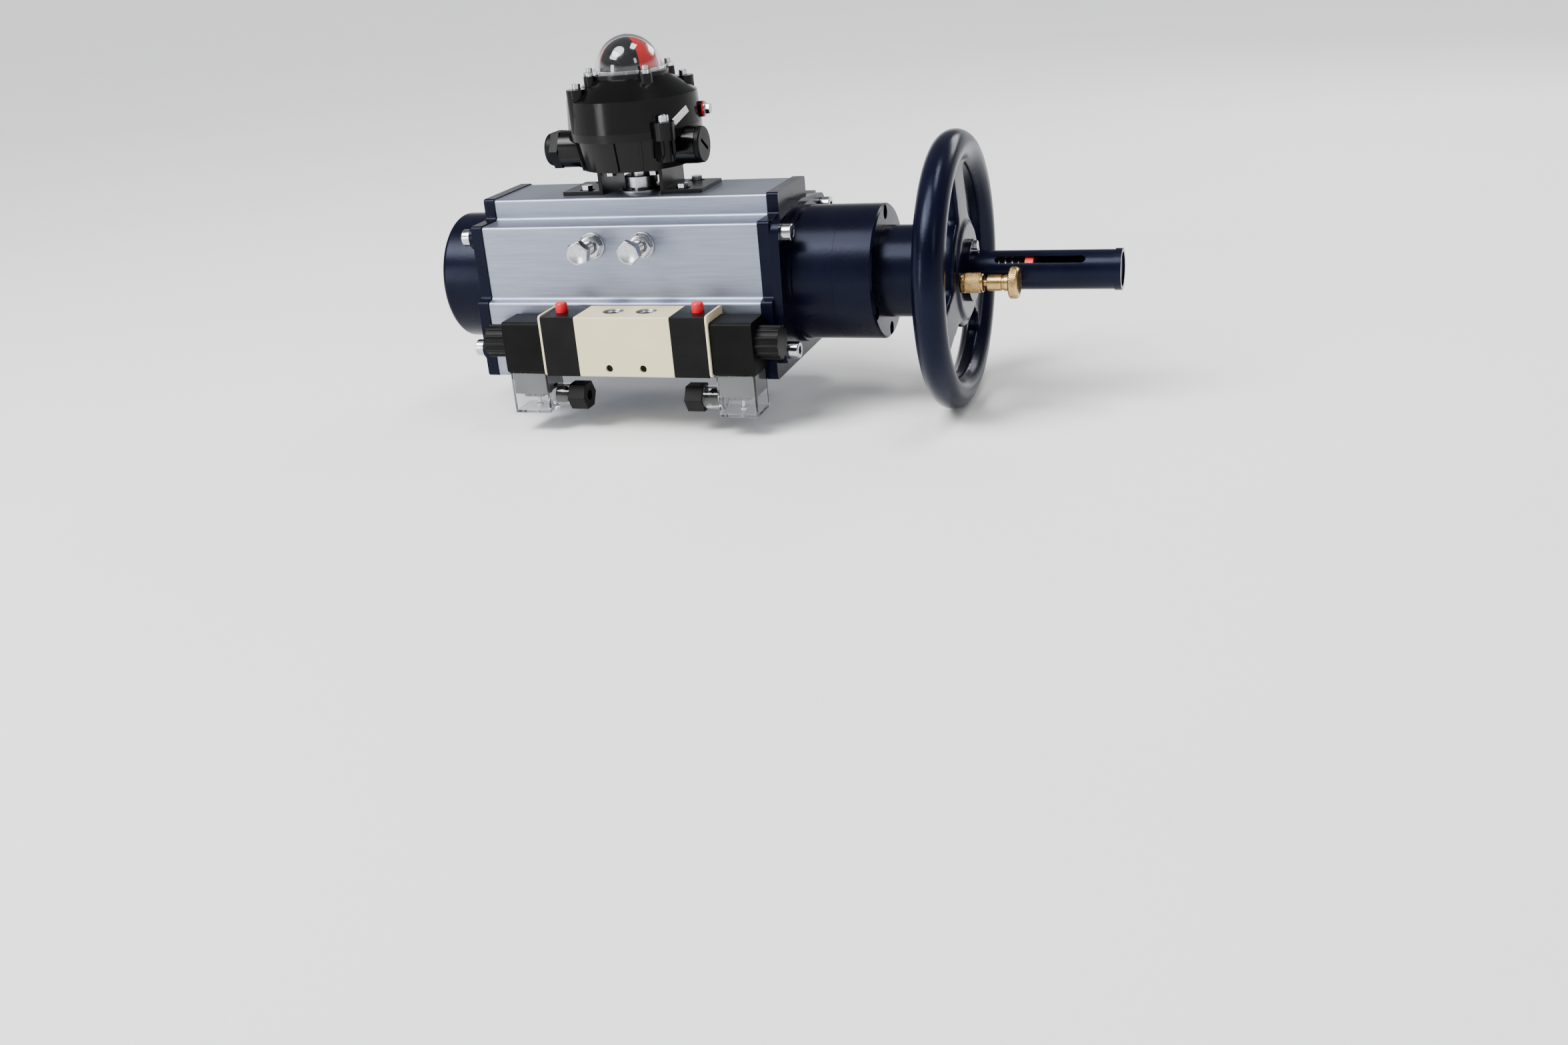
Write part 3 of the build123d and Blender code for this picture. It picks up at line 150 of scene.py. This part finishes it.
def clear(name, tint, rough, ior):
    """Clear polycarbonate with faint flow lines and handling marks."""
    tree, shader = new_material(name)
    haze = mapped_noise(tree, 70, 5, (1, 1, 0.4))
    dull = tuple(0.93 * c for c in tint)
    tree.links.new(ramp(tree, haze, dull, tint), shader.inputs["Base Color"])
    tree.links.new(value_range(tree, haze, *rough), shader.inputs["Roughness"])
    shader.inputs["Transmission Weight"].default_value = 1.0
    shader.inputs["IOR"].default_value = ior
    bump(tree, shader, mapped_noise(tree, 45, 3), 0.04, 0.5 * MM)


# Anodised body and paints. The navy paints reflect the light bluish
metal(
    "anodised_body", (0.20, 0.222, 0.285), (0.26, 0.284, 0.35), (0.34, 0.46), 520,
    stretch=(0.05, 1, 1), strength=0.05, metallic=0.85,
)
painted(
    "navy_paint", (0.0012, 0.0013, 0.005), (0.003, 0.0034, 0.011), (0.2, 0.34),
    tint=(0.64, 0.71, 1.0),
)
painted(
    "wheel_paint", (0.0012, 0.0013, 0.006), (0.0032, 0.0036, 0.013), (0.17, 0.3),
    peel=0.12, peel_scale=300, gloss=0.15, tint=(0.62, 0.71, 1.0),
)
painted(
    "box_paint", (0.0012, 0.0012, 0.0012), (0.003, 0.003, 0.003), (0.13, 0.24),
    peel=0.03, peel_scale=500, gloss=0.17,
)
painted("bracket_black", (0.002, 0.002, 0.002), (0.005, 0.005, 0.005), (0.25, 0.4), gloss=0.16)

# Metals
metal("zinc_steel", (0.36, 0.365, 0.39), (0.54, 0.545, 0.57), (0.12, 0.26), 260)
metal("black_steel", (0.02, 0.02, 0.022), (0.05, 0.05, 0.055), (0.3, 0.5), 300)
metal("machined_steel", (0.36, 0.37, 0.39), (0.5, 0.51, 0.53), (0.22, 0.36), 420, stretch=(0.2, 1, 1))
metal("piston_alloy", (0.5, 0.51, 0.52), (0.66, 0.67, 0.68), (0.4, 0.55), 240)
metal("bronze", (0.42, 0.25, 0.09), (0.60, 0.38, 0.16), (0.25, 0.4), 300)
metal("brass_part", (0.42, 0.26, 0.09), (0.62, 0.42, 0.19), (0.2, 0.36), 320)

# Seals, bearings, indicator and switches
plastic("seal_rubber", (0.008, 0.008, 0.008), (0.016, 0.016, 0.016), (0.5, 0.7))
plastic("bearing_plastic", (0.72, 0.70, 0.62), (0.80, 0.78, 0.70))
plastic("indicator_red", (0.70, 0.012, 0.015), (0.82, 0.022, 0.024), (0.2, 0.3))
plastic("indicator_black", (0.004, 0.004, 0.005), (0.01, 0.01, 0.011), (0.2, 0.3))
plastic("switch_plastic", (0.02, 0.02, 0.02), (0.04, 0.04, 0.04))
plastic("cam_plastic", (0.6, 0.06, 0.03), (0.7, 0.09, 0.04))
plastic("label_white", (0.74, 0.74, 0.72), (0.82, 0.82, 0.80), (0.3, 0.4))
clear("clear_dome", (0.97, 0.98, 0.99), (0.0, 0.04), 1.58)

# Valve, coils and connectors
painted("valve_cream", (0.64, 0.56, 0.34), (0.71, 0.63, 0.40), (0.35, 0.5), peel_scale=700, gloss=0.3)
painted("cream_plate", (0.64, 0.56, 0.35), (0.71, 0.63, 0.41), (0.35, 0.5), peel_scale=700, gloss=0.3)
plastic("black_plastic", (0.002, 0.002, 0.002), (0.005, 0.005, 0.005), (0.32, 0.48), 0.1)
plastic("coil_plastic", (0.002, 0.002, 0.002), (0.004, 0.004, 0.004), (0.4, 0.55), 0.07)
plastic("button_red", (0.62, 0.002, 0.014), (0.72, 0.004, 0.024), (0.25, 0.35), 0.35)
plastic("grey_insert", (0.10, 0.10, 0.10), (0.15, 0.15, 0.15), (0.4, 0.55), 0.4)
clear("clear_connector", (0.93, 0.95, 0.96), (0.02, 0.10), 1.45)

for entry in frame["record"]["subparts"]:
    node = nodes[entry["node"]]
    node.data.materials.clear()
    node.data.materials.append(materials[entry["material_slot"]])


# ---------------------------------------------------------- rounded CAD edges
edge_angle = math.radians(32)


def round_edges(width, names, segments=2):
    """Rounds CAD nodes' edges with modifiers, so that they catch the light."""
    for name in names:
        node = nodes[name]
        weld = node.modifiers.new("weld", "WELD")
        weld.merge_threshold = 0.02 * MM
        flat = node.modifiers.new("flat", "DECIMATE")
        flat.decimate_type = "DISSOLVE"
        flat.angle_limit = math.radians(1)
        bevel = node.modifiers.new("round", "BEVEL")
        bevel.width = width * MM
        bevel.segments = segments
        bevel.limit_method = "ANGLE"
        bevel.angle_limit = edge_angle
        bevel.use_clamp_overlap = True
        normals = node.modifiers.new("normals", "WEIGHTED_NORMAL")
        normals.keep_sharp = False


round_edges(1.2, ("left_end_cap", "right_end_cap", "override_housing"), 3)
round_edges(0.9, ("box_base", "box_cover", "left_cable_plug", "right_cable_plug"), 3)
round_edges(0.7, ("left_coil", "right_coil", "left_connector", "right_connector"), 3)
round_edges(
    0.5, ("cylinder_body", "switch_bracket", "valve_body", "left_pilot_block", "right_pilot_block")
)
round_edges(0.35, ("gland_nuts", "guard_tube", "coil_knobs", "stop_washers", "earth_terminal"))
round_edges(0.3, ("hub_bolts", "drive_shaft", "end_plates", "tube_plug"))
round_edges(
    0.25, ("end_cap_screws", "housing_screws", "cover_screws", "dome_screws", "bracket_screws")
)


# ------------------------------------------------------------- mesh building
def placed(origin, direction=(0, 0, 1), turn=0.0):
    """Matrix from local millimetres, local Z along direction, to the frame's metres."""
    aim = Vector(direction).to_track_quat("Z", "Y").to_matrix().to_4x4()
    spin = Matrix.Rotation(math.radians(turn), 4, "Z")
    return Matrix.Translation(Vector(origin) * MM) @ aim @ spin @ Matrix.Scale(MM, 4)


def mid_point(corners):
    return (corners[0] + corners[1]) / 2 / MM


def add_loops(shape, loops, place, closed=False):
    """Skins a list of equal loops of points, capped at both ends unless closed."""
    rows = [[shape.verts.new(place @ Vector(point)) for point in points] for points in loops]
    pairs = list(zip(rows, rows[1:]))
    if closed:
        pairs.append((rows[-1], rows[0]))
    count = len(rows[0])
    for low, high in pairs:
        for i in range(count):
            j = (i + 1) % count
            shape.faces.new((low[i], low[j], high[j], high[i]))
    if not closed:
        shape.faces.new(list(reversed(rows[0])))
        shape.faces.new(rows[-1])


def loop(radius, height, steps=72):
    """One loop about local Z; radius and height may depend on the angle."""
    points = []
    for i in range(steps):
        angle = 2 * math.pi * i / steps
        r = radius(angle) if callable(radius) else radius
        h = height(angle) if callable(height) else height
        points.append((r * math.cos(angle), r * math.sin(angle), h))
    return points


def turned(profile, steps=72):
    """Loops from (radius, height) pairs."""
    return [loop(r, h, steps) for r, h in profile]


def add_turned(shape, profile, place, closed=False, steps=72):
    """A turned solid from (radius, height) pairs."""
    add_loops(shape, turned(profile, steps), place, closed)


def add_hexagon(shape, place, across, height, bore=0.0, both=False):
    """A hexagon head or nut with turned 30 degree chamfers."""
    flat_r = across / 2 * 0.95
    slope = math.tan(math.radians(30))
    edge = 0.4

    def corner(angle):
        return across / 2 / math.cos((angle + math.pi / 6) % (math.pi / 3) - math.pi / 6)

    def low(angle):
        return (corner(angle) - flat_r) * slope if both else 0

    def high(angle):
        return height - (corner(angle) - flat_r) * slope

    loops = [loop(corner, low), loop(corner, high), loop(flat_r, height)]
    if both:
        loops.insert(0, loop(flat_r, 0))
    if bore:
        loops = turned(((bore, edge), (bore + edge, 0))) + loops
        loops += turned(((bore + edge, height), (bore, height - edge)))
    else:
        loops += turned(((flat_r * 0.93, height), (flat_r * 0.9, height - 0.12)))
    add_loops(shape, loops, place, closed=bool(bore))


def add_thread(shape, place, core, crest, pitch, start, end, before, after, closed=False):
    """A helical thread that fades out at both ends, with more loops before and after."""
    steps = 48
    rise = pitch / 8

    def surface(height):
        fade = min(1, (height - start) / pitch, (end - height) / pitch)

        def radius(angle):
            wave = abs(2 * ((height / pitch - angle / (2 * math.pi)) % 1) - 1)
            return core + (crest - core) * min(1, wave * 1.25) * max(0, fade)

        return radius

    heights = [start + i * rise for i in range(int((end - start) / rise) + 1)]
    thread = [loop(surface(height), height, steps) for height in heights]
    add_loops(shape, turned(before, steps) + thread + turned(after, steps), place, closed)


def add_knurl(shape, place, radius, depth, around, start, end, before, after, closed=False):
    """A diamond knurl on a cylinder, with more loops before and after."""
    pitch = 2 * math.pi * radius / around
    rise = pitch / 6
    steps = around * 6

    def surface(height):
        def at(angle):
            turn = around * angle / (2 * math.pi)
            waves = [abs(2 * ((turn + side * height / pitch) % 1) - 1) for side in (1, -1)]
            return radius - depth * (1 - min(waves))

        return at

    rows = range(int((end - start) / rise) + 1)
    knurl = [loop(surface(i * rise), start + i * rise, steps) for i in rows]
    add_loops(shape, turned(before, steps) + knurl + turned(after, steps), place, closed)


def add_block(shape, low, high, place=Matrix.Scale(MM, 4)):
    """A rectangular block between two corners, in local millimetres."""
    (x0, y0, z0), (x1, y1, z1) = low, high
    outline = ((x0, y0), (x1, y0), (x1, y1), (x0, y1))
    add_loops(shape, [[(x, y, z) for x, y in outline] for z in (z0, z1)], place)


def add_fin(shape, outline, low, high, angle):
    """A radial fin: a (radius, z) outline, thick from low to high, turned about the shaft's axis."""
    loops = [[(r, y, z) for r, z in outline] for y in (low, high)]
    add_loops(shape, loops, placed((0, 0, 0), turn=angle))


def make_piece(shape, name, body, slot, replaced=(), bevel=0.0, finish=None):
    """Turns a bmesh into a piece that rides on a body."""
    bmesh.ops.recalc_face_normals(shape, faces=shape.faces)
    mesh = bpy.data.meshes.new(name)
    shape.to_mesh(mesh)
    shape.free()
    mesh.shade_smooth()
    mesh.set_sharp_from_angle(angle=math.radians(35))
    mesh.materials.append(materials[finish or slot])
    piece = bpy.data.objects.new(name, mesh)
    bpy.context.collection.objects.link(piece)
    if bevel:
        rounding = piece.modifiers.new("round", "BEVEL")
        rounding.width = bevel * MM
        rounding.segments = 3
        rounding.angle_limit = edge_angle
    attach(piece, body)
    if replaced:
        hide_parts(*replaced)


# ------------------------------------------------------------ cast handwheel
cast_wheel = bpy.data.objects.new("cast_wheel", nodes["handwheel"].data.copy())
bpy.context.collection.objects.link(cast_wheel)
cast = cast_wheel.modifiers.new("cast", "REMESH")
cast.mode = "VOXEL"
cast.voxel_size = 1.3 * MM
cast.use_smooth_shade = True
soften = cast_wheel.modifiers.new("soften", "SMOOTH")
soften.factor = 0.5
soften.iterations = 7
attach(cast_wheel, "wheel")
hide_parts("handwheel")

# -------------------------------------------- travel-stop bolts and nuts, M10
stop_lo, stop_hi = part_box("stop_bolts")
nut_lo, nut_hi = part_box("stop_nuts")
stop_x = 20.5
stop_z = mid_point((stop_lo, stop_hi)).z
across_flats = 16
head_height = 6.4
under_head = stop_lo.y / MM + head_height
thread_end = 24
bolt_end = stop_hi.y / MM - under_head
nut_height = (nut_hi.y - nut_lo.y) / MM
bolts = bmesh.new()
nuts = bmesh.new()
for side in (-1, 1):
    head = placed((side * stop_x, under_head, stop_z), (0, -1, 0), 12 * side)
    add_hexagon(bolts, head, across_flats, head_height)
    add_thread(
        bolts,
        placed((side * stop_x, under_head, stop_z), (0, 1, 0)),
        core=4.25,
        crest=4.95,
        pitch=1.5,
        start=0.2,
        end=thread_end,
        before=((4.2, -1),),
        after=((4.2, thread_end + 0.4), (4.9, thread_end + 1), (4.9, bolt_end - 1), (4, bolt_end)),
    )
    nut = placed((side * stop_x, nut_hi.y / MM, stop_z), (0, -1, 0), 25 * side)
    add_hexagon(nuts, nut, across_flats, nut_height, bore=5.02, both=True)
make_piece(bolts, "stop_bolt_set", "body", "zinc_steel", ("stop_bolts",))
make_piece(nuts, "stop_nut_set", "body", "zinc_steel", ("stop_nuts",))

# ----------------------------------------------------------- override screw
screw_lo, screw_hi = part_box("override_screw")
screw_length = (screw_hi.x - screw_lo.x) / MM
axis_z = mid_point((screw_lo, screw_hi)).z
shank_end = 64
core_r = 7.6
screw = bmesh.new()
add_thread(
    screw,
    placed((screw_lo.x / MM, 0, axis_z), (1, 0, 0)),
    core=core_r,
    crest=9.85,
    pitch=5,
    start=shank_end + 2,
    end=screw_length - 8,
    before=((8.8, 0), (9.8, 1), (9.8, shank_end), (core_r, shank_end + 1.5)),
    after=((core_r, screw_length - 7), (core_r, screw_length - 0.6), (core_r - 0.6, screw_length)),
)
make_piece(screw, "jack_screw", "screw", "machined_steel", ("override_screw",))

# -------------------------------------------------- brass lock plunger, knob
barrel_lo, barrel_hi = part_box("plunger_barrel")
barrel_mid = mid_point((barrel_lo, barrel_hi))
barrel_r = (barrel_hi.y - barrel_lo.y) / 2 / MM
barrel_end = (barrel_hi.x - barrel_lo.x) / MM
rim_r = barrel_r - 0.1
lip_r = barrel_r - 0.6
hole_r = 2.6
recess_r = 6.2
recess_start = barrel_end - 8
barrel = bmesh.new()
add_knurl(
    barrel,
    placed((barrel_lo.x / MM, barrel_mid.y, barrel_mid.z), (1, 0, 0)),
    radius=barrel_r,
    depth=0.35,
    around=30,
    start=3.4,
    end=barrel_end - 2.4,
    before=(
        (hole_r, recess_start), (hole_r, 0), (barrel_r - 0.5, 0), (rim_r, 0.4), (rim_r, 2.4),
        (barrel_r - 1, 2.9),
    ),
    after=(
        (lip_r, barrel_end - 2.1), (lip_r, barrel_end - 0.4), (barrel_r - 0.9, barrel_end),
        (recess_r, barrel_end), (recess_r, recess_start),
    ),
    closed=True,
)
make_piece(barrel, "knurled_barrel", "wheel", "brass_part", ("plunger_barrel",))

pin_lo, pin_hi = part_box("lock_pin")
pin_place = placed((pin_lo.x / MM, barrel_mid.y, barrel_mid.z), (1, 0, 0))
pin_r = 2.45
sleeve_r = 5.95
neck_r = 5.2
# Where the sleeve, its groove and the knob begin along the pin
sleeve = 52
groove = sleeve + 10.9
knob = 68
knob_end = (pin_hi.x - pin_lo.x) / MM
pull = bmesh.new()
add_turned(
    pull,
    (
        (1.6, 0), (pin_r, 1), (pin_r, sleeve), (5.4, sleeve), (sleeve_r, sleeve + 0.5),
        (sleeve_r, groove - 0.5), (neck_r, groove), (neck_r, groove + 1), (sleeve_r, groove + 1.5),
        (sleeve_r, knob - 0.6), (neck_r, knob), (neck_r, knob + 0.3), (3, knob + 0.4),
    ),
    pin_place,
)
add_knurl(
    pull,
    pin_place,
    radius=11.5,
    depth=0.3,
    around=44,
    start=knob + 1.4,
    end=knob_end - 1.6,
    before=((2.9, knob + 0.1), (10.4, knob + 0.1), (11.2, knob + 0.8)),
    after=(
        (11.2, knob_end - 1.2), (10.2, knob_end), (8.2, knob_end), (7.4, knob_end - 0.5),
        (1, knob_end - 0.3),
    ),
)
make_piece(pull, "pull_knob", "lock", "brass_part", ("lock_pin",))

# -------------------------------------------------- ports and holes of the valve
valve_lo, valve_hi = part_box("valve_body")
valve_mid = mid_point((valve_lo, valve_hi))
port_r = 8.25
port_offset = 13.5
port_y = valve_mid.y + 2
port_floor = valve_hi.z / MM - 11.8
ports = bmesh.new()
for side in (-1, 1):
    add_thread(
        ports,
        placed((valve_mid.x + side * port_offset, port_y, port_floor)),
        core=port_r - 0.15,
        crest=port_r - 1.0,
        pitch=1.34,
        start=0.4,
        end=10.6,
        before=((port_r, 0),),
        after=((port_r, 10.9),),
        closed=True,
    )
make_piece(ports, "port_threads", "body", "machined_steel")

# Painted shade: black discs sit in the two fixing holes, a little below the valve's face, and stand
# in for the shade inside the holes
fixing_mid = mid_point(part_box("valve_screws"))
fixing_offset = 13.8
hole_shade_y = valve_lo.y / MM + 1.6
hole_shade_discs = bmesh.new()
for side in (-1, 1):
    place = placed((fixing_mid.x + side * fixing_offset, hole_shade_y, fixing_mid.z), (0, 1, 0))
    add_turned(hole_shade_discs, ((1.2, 0.6), (2.4, 0), (2.86, 0.4), (2.86, 3)), place)
make_piece(hole_shade_discs, "fixing_hole_shade_discs", "body", "black_plastic")

# ------------------------------------------------------- switch box details
base_lo, base_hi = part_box("box_base")
base_z = base_lo.z / MM
joint_z = base_hi.z / MM
box_r = 51.5
gasket = bmesh.new()
inner_r, outer_r = box_r - 4, box_r - 0.05
gasket_profile = ((inner_r, -0.3), (outer_r, -0.3), (outer_r, 0.3), (inner_r, 0.3))
add_turned(gasket, gasket_profile, placed((0, 0, joint_z)), closed=True, steps=144)
make_piece(gasket, "joint_gasket", "body", "seal_rubber")

# Ribs up the base's wall, ending below the joint
rib_top = joint_z - 6
ribs = bmesh.new()
for angle in (-152, -128, -104, -80, 20, 44, 92, 116, 164):
    outline = ((44.6, base_z + 0.6), (46.2, base_z + 0.6), (50.6, rib_top), (47.2, rib_top))
    add_fin(ribs, outline, -0.9, 0.9, angle)
make_piece(ribs, "base_ribs", "body", "box_paint", bevel=0.35)

# Twin ribs join each low screw lug to the wall
lug_z = 160
lug_ribs = bmesh.new()
for angle in (-45, 135):
    outline = ((48.2, lug_z), (58.4, lug_z), (62.2, lug_z + 6), (62.2, rib_top), (48.2, rib_top))
    for y in (-4.6, 4.6):
        add_fin(lug_ribs, outline, y - 1.1, y + 1.1, angle)
make_piece(lug_ribs, "lug_ribs", "body", "box_paint", bevel=0.35)

# Ramps run from the dome's seat to the high screw towers
seat_z = 214.4
tower_z = 208.6
ramps = bmesh.new()
for angle in (45, 225):
    outline = ((33, 204), (50, 196), (50, tower_z), (46, tower_z + 1.8), (36.4, seat_z), (33, seat_z))
    add_fin(ramps, outline, -6.4, 6.4, angle)
make_piece(ramps, "tower_ramps", "body", "box_paint", bevel=1.2)

# Blank label plate, slanting on the wall beside the right-hand lug
label_z = 190.5
half_width = 8.5
half_height = 2.6
label = bmesh.new()
label_place = (
    Matrix.Rotation(math.radians(-24), 4, "Z")
    @ Matrix.Translation(Vector((box_r - 0.35, 0, label_z)) * MM)
    @ Matrix.Rotation(math.radians(28), 4, "X")
    @ Matrix.Scale(MM, 4)
)
add_block(label, (-0.6, -half_width, -half_height), (0.25, half_width, half_height), label_place)
make_piece(label, "blank_plate", "body", "cream_plate", bevel=0.2, finish="label_white")

# Red ring on the earth terminal
earth_lo, earth_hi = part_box("earth_terminal")
earth_mid = mid_point((earth_lo, earth_hi))
earth_place = placed((earth_lo.x / MM, earth_mid.y, earth_mid.z), (1, 0, 0))
ring = bmesh.new()
add_turned(ring, ((3.2, 0), (5.6, 0), (5.6, 0.9), (5.2, 1.2), (3.2, 1.2)), earth_place, closed=True)
make_piece(ring, "earth_ring", "body", "button_red")

# ------------------------------------------------------- connector details
connector_width = 31
carrier_half = 8
carrier_z = -8.5
tab_half = 1.8
screw_z = -15.8
entry_z = -9
inner = bmesh.new()
screws = bmesh.new()
cores = bmesh.new()
gaskets = bmesh.new()
for name, side in (("left_connector", 1), ("right_connector", -1)):
    shell_lo, shell_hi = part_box(name)
    mid_y = mid_point((shell_lo, shell_hi)).y
    outer_x = (shell_lo.x if side > 0 else shell_hi.x) / MM
    inner_x = (shell_hi.x if side > 0 else shell_lo.x) / MM
    centre_x = outer_x + side * connector_width / 2
    # Contact carrier below the terminal block, with its tabs
    low = (centre_x - carrier_half, mid_y - carrier_half, carrier_z)
    high = (centre_x + carrier_half, mid_y + carrier_half, carrier_z + 3.45)
    add_block(inner, low, high)
    for x in (centre_x - 5, centre_x, centre_x + 5):
        add_block(inner, (x - tab_half, mid_y - 9.6, -7.4), (x + tab_half, mid_y - 8.1, 4))
    # Centre screw: its head on the shell's floor, its shank up to the carrier
    head = placed((centre_x, mid_y, screw_z), (0, 0, -1))
    add_turned(screws, ((1.4, 0), (2.8, 0), (2.8, 1.6), (2.2, 2.2), (0.5, 2.2)), head)
    add_turned(screws, ((1.4, 0), (1.4, 8)), placed((centre_x, mid_y, screw_z + 0.1)))
    # Seal in the clear cable entry
    entry = placed((inner_x - side * 12, mid_y, entry_z), (side, 0, 0))
    seal = ((3.4, 0), (6.2, 0), (6.6, 1.2), (6.6, 6.4), (5.4, 8.2), (3.4, 8.2))
    add_turned(cores, seal, entry, closed=True)
    # Flat gasket between connector and coil
    left_x, right_x = sorted((outer_x, outer_x + side * (connector_width - 0.4)))
    coil_z = shell_hi.z / MM
    low = (left_x, shell_lo.y / MM + 0.4, coil_z - 0.5)
    high = (right_x, shell_hi.y / MM - 0.4, coil_z + 0.25)
    add_block(gaskets, low, high)
make_piece(inner, "contact_carriers", "body", "grey_insert", bevel=0.3)
make_piece(screws, "connector_screws", "body", "zinc_steel")
make_piece(cores, "entry_seals", "body", "seal_rubber")
make_piece(gaskets, "coil_gaskets", "body", "seal_rubber", bevel=0.15)

# -------------------------------------------------------------------- camera
camera_data = bpy.data.cameras.new("camera")
camera_data.sensor_width = 36
camera_data.lens = 35.87
camera_data.clip_end = 100
camera = bpy.data.objects.new("camera", camera_data)
bpy.context.collection.objects.link(camera)
camera_place = (0.49932, -1.12837, 0.33827)
azimuth, elevation, roll = map(math.radians, (19.84, 21.92, -5.07))
back = Vector(
    (
        math.sin(azimuth) * math.cos(elevation),
        -math.cos(azimuth) * math.cos(elevation),
        math.sin(elevation),
    )
)
level = Vector((0, 0, 1)).cross(back).normalized()
upright = back.cross(level)
right = level * math.cos(roll) + upright * math.sin(roll)
up = upright * math.cos(roll) - level * math.sin(roll)
aim = Matrix((right, up, back)).transposed().to_4x4()
camera.matrix_world = Matrix.Translation(camera_place) @ aim
bpy.context.scene.camera = camera

# -------------------------------------------------------------- floor, lights
floor_z = cad_bounds[0].z
floor_half = 30
floor_mesh = bpy.data.meshes.new("floor")
corners = ((-1, -1), (1, -1), (1, 1), (-1, 1))
corners = [(floor_half * x, floor_half * y, floor_z) for x, y in corners]
floor_mesh.from_pydata(corners, [], [(0, 1, 2, 3)])
floor = bpy.data.objects.new("floor", floor_mesh)
bpy.context.collection.objects.link(floor)
floor_tree, floor_shader = new_material("floor")
floor_tree.links.new(
    ramp(floor_tree, mapped_noise(floor_tree, 3, 2), (0.92, 0.92, 0.925), (0.94, 0.94, 0.945)),
    floor_shader.inputs["Base Color"],
)
floor_shader.inputs["Roughness"].default_value = 0.7
floor_mesh.materials.append(materials["floor"])

# The sky is as bright as the floor at the horizon and dim overhead
world = bpy.data.worlds.new("studio")
bpy.context.scene.world = world
world.use_nodes = True
sky = world.node_tree
background = sky.nodes["Background"]
background.inputs["Color"].default_value = (0.96, 0.975, 1.0, 1)
direction = sky.nodes.new("ShaderNodeTexCoord")
axes = sky.nodes.new("ShaderNodeSeparateXYZ")
sky.links.new(direction.outputs["Generated"], axes.inputs[0])
sky_strength = value_range(sky, axes.outputs["Z"], 1.25, 0.28)
sky_strength.node.interpolation_type = "SMOOTHSTEP"
sky_strength.node.inputs["From Min"].default_value = 0.1
sky_strength.node.inputs["From Max"].default_value = 0.3
sky.links.new(sky_strength, background.inputs["Strength"])

sun_data = bpy.data.lights.new("sun", "SUN")
sun_data.energy = 3.8
sun_data.angle = math.radians(35)
sun = bpy.data.objects.new("sun", sun_data)
bpy.context.collection.objects.link(sun)
sun.rotation_euler = Vector((0.5, 0.7, -1.5)).to_track_quat("-Z", "Y").to_euler()


def soft_light(name, place, size, power):
    """A large rectangular area light that points at the middle of the object."""
    data = bpy.data.lights.new(name, "AREA")
    data.shape = "RECTANGLE"
    data.size, data.size_y = size
    data.energy = power
    light = bpy.data.objects.new(name, data)
    bpy.context.collection.objects.link(light)
    light.location = place
    centre = (cad_bounds[0] + cad_bounds[1]) / 2
    light.rotation_euler = (centre - Vector(place)).to_track_quat("-Z", "Y").to_euler()


soft_light("key", (-0.9, -1.1, 1.6), (0.9, 0.8), 34)
soft_light("left", (-1.05, -1.45, 0.4), (0.35, 0.7), 8)
soft_light("fill", (1.9, -1.5, 1.5), (0.4, 0.8), 5)
soft_light("top", (0.55, 0.1, 1.9), (0.7, 0.4), 14)
soft_light("rim", (0.9, 1.6, 1.1), (0.9, 0.5), 12)
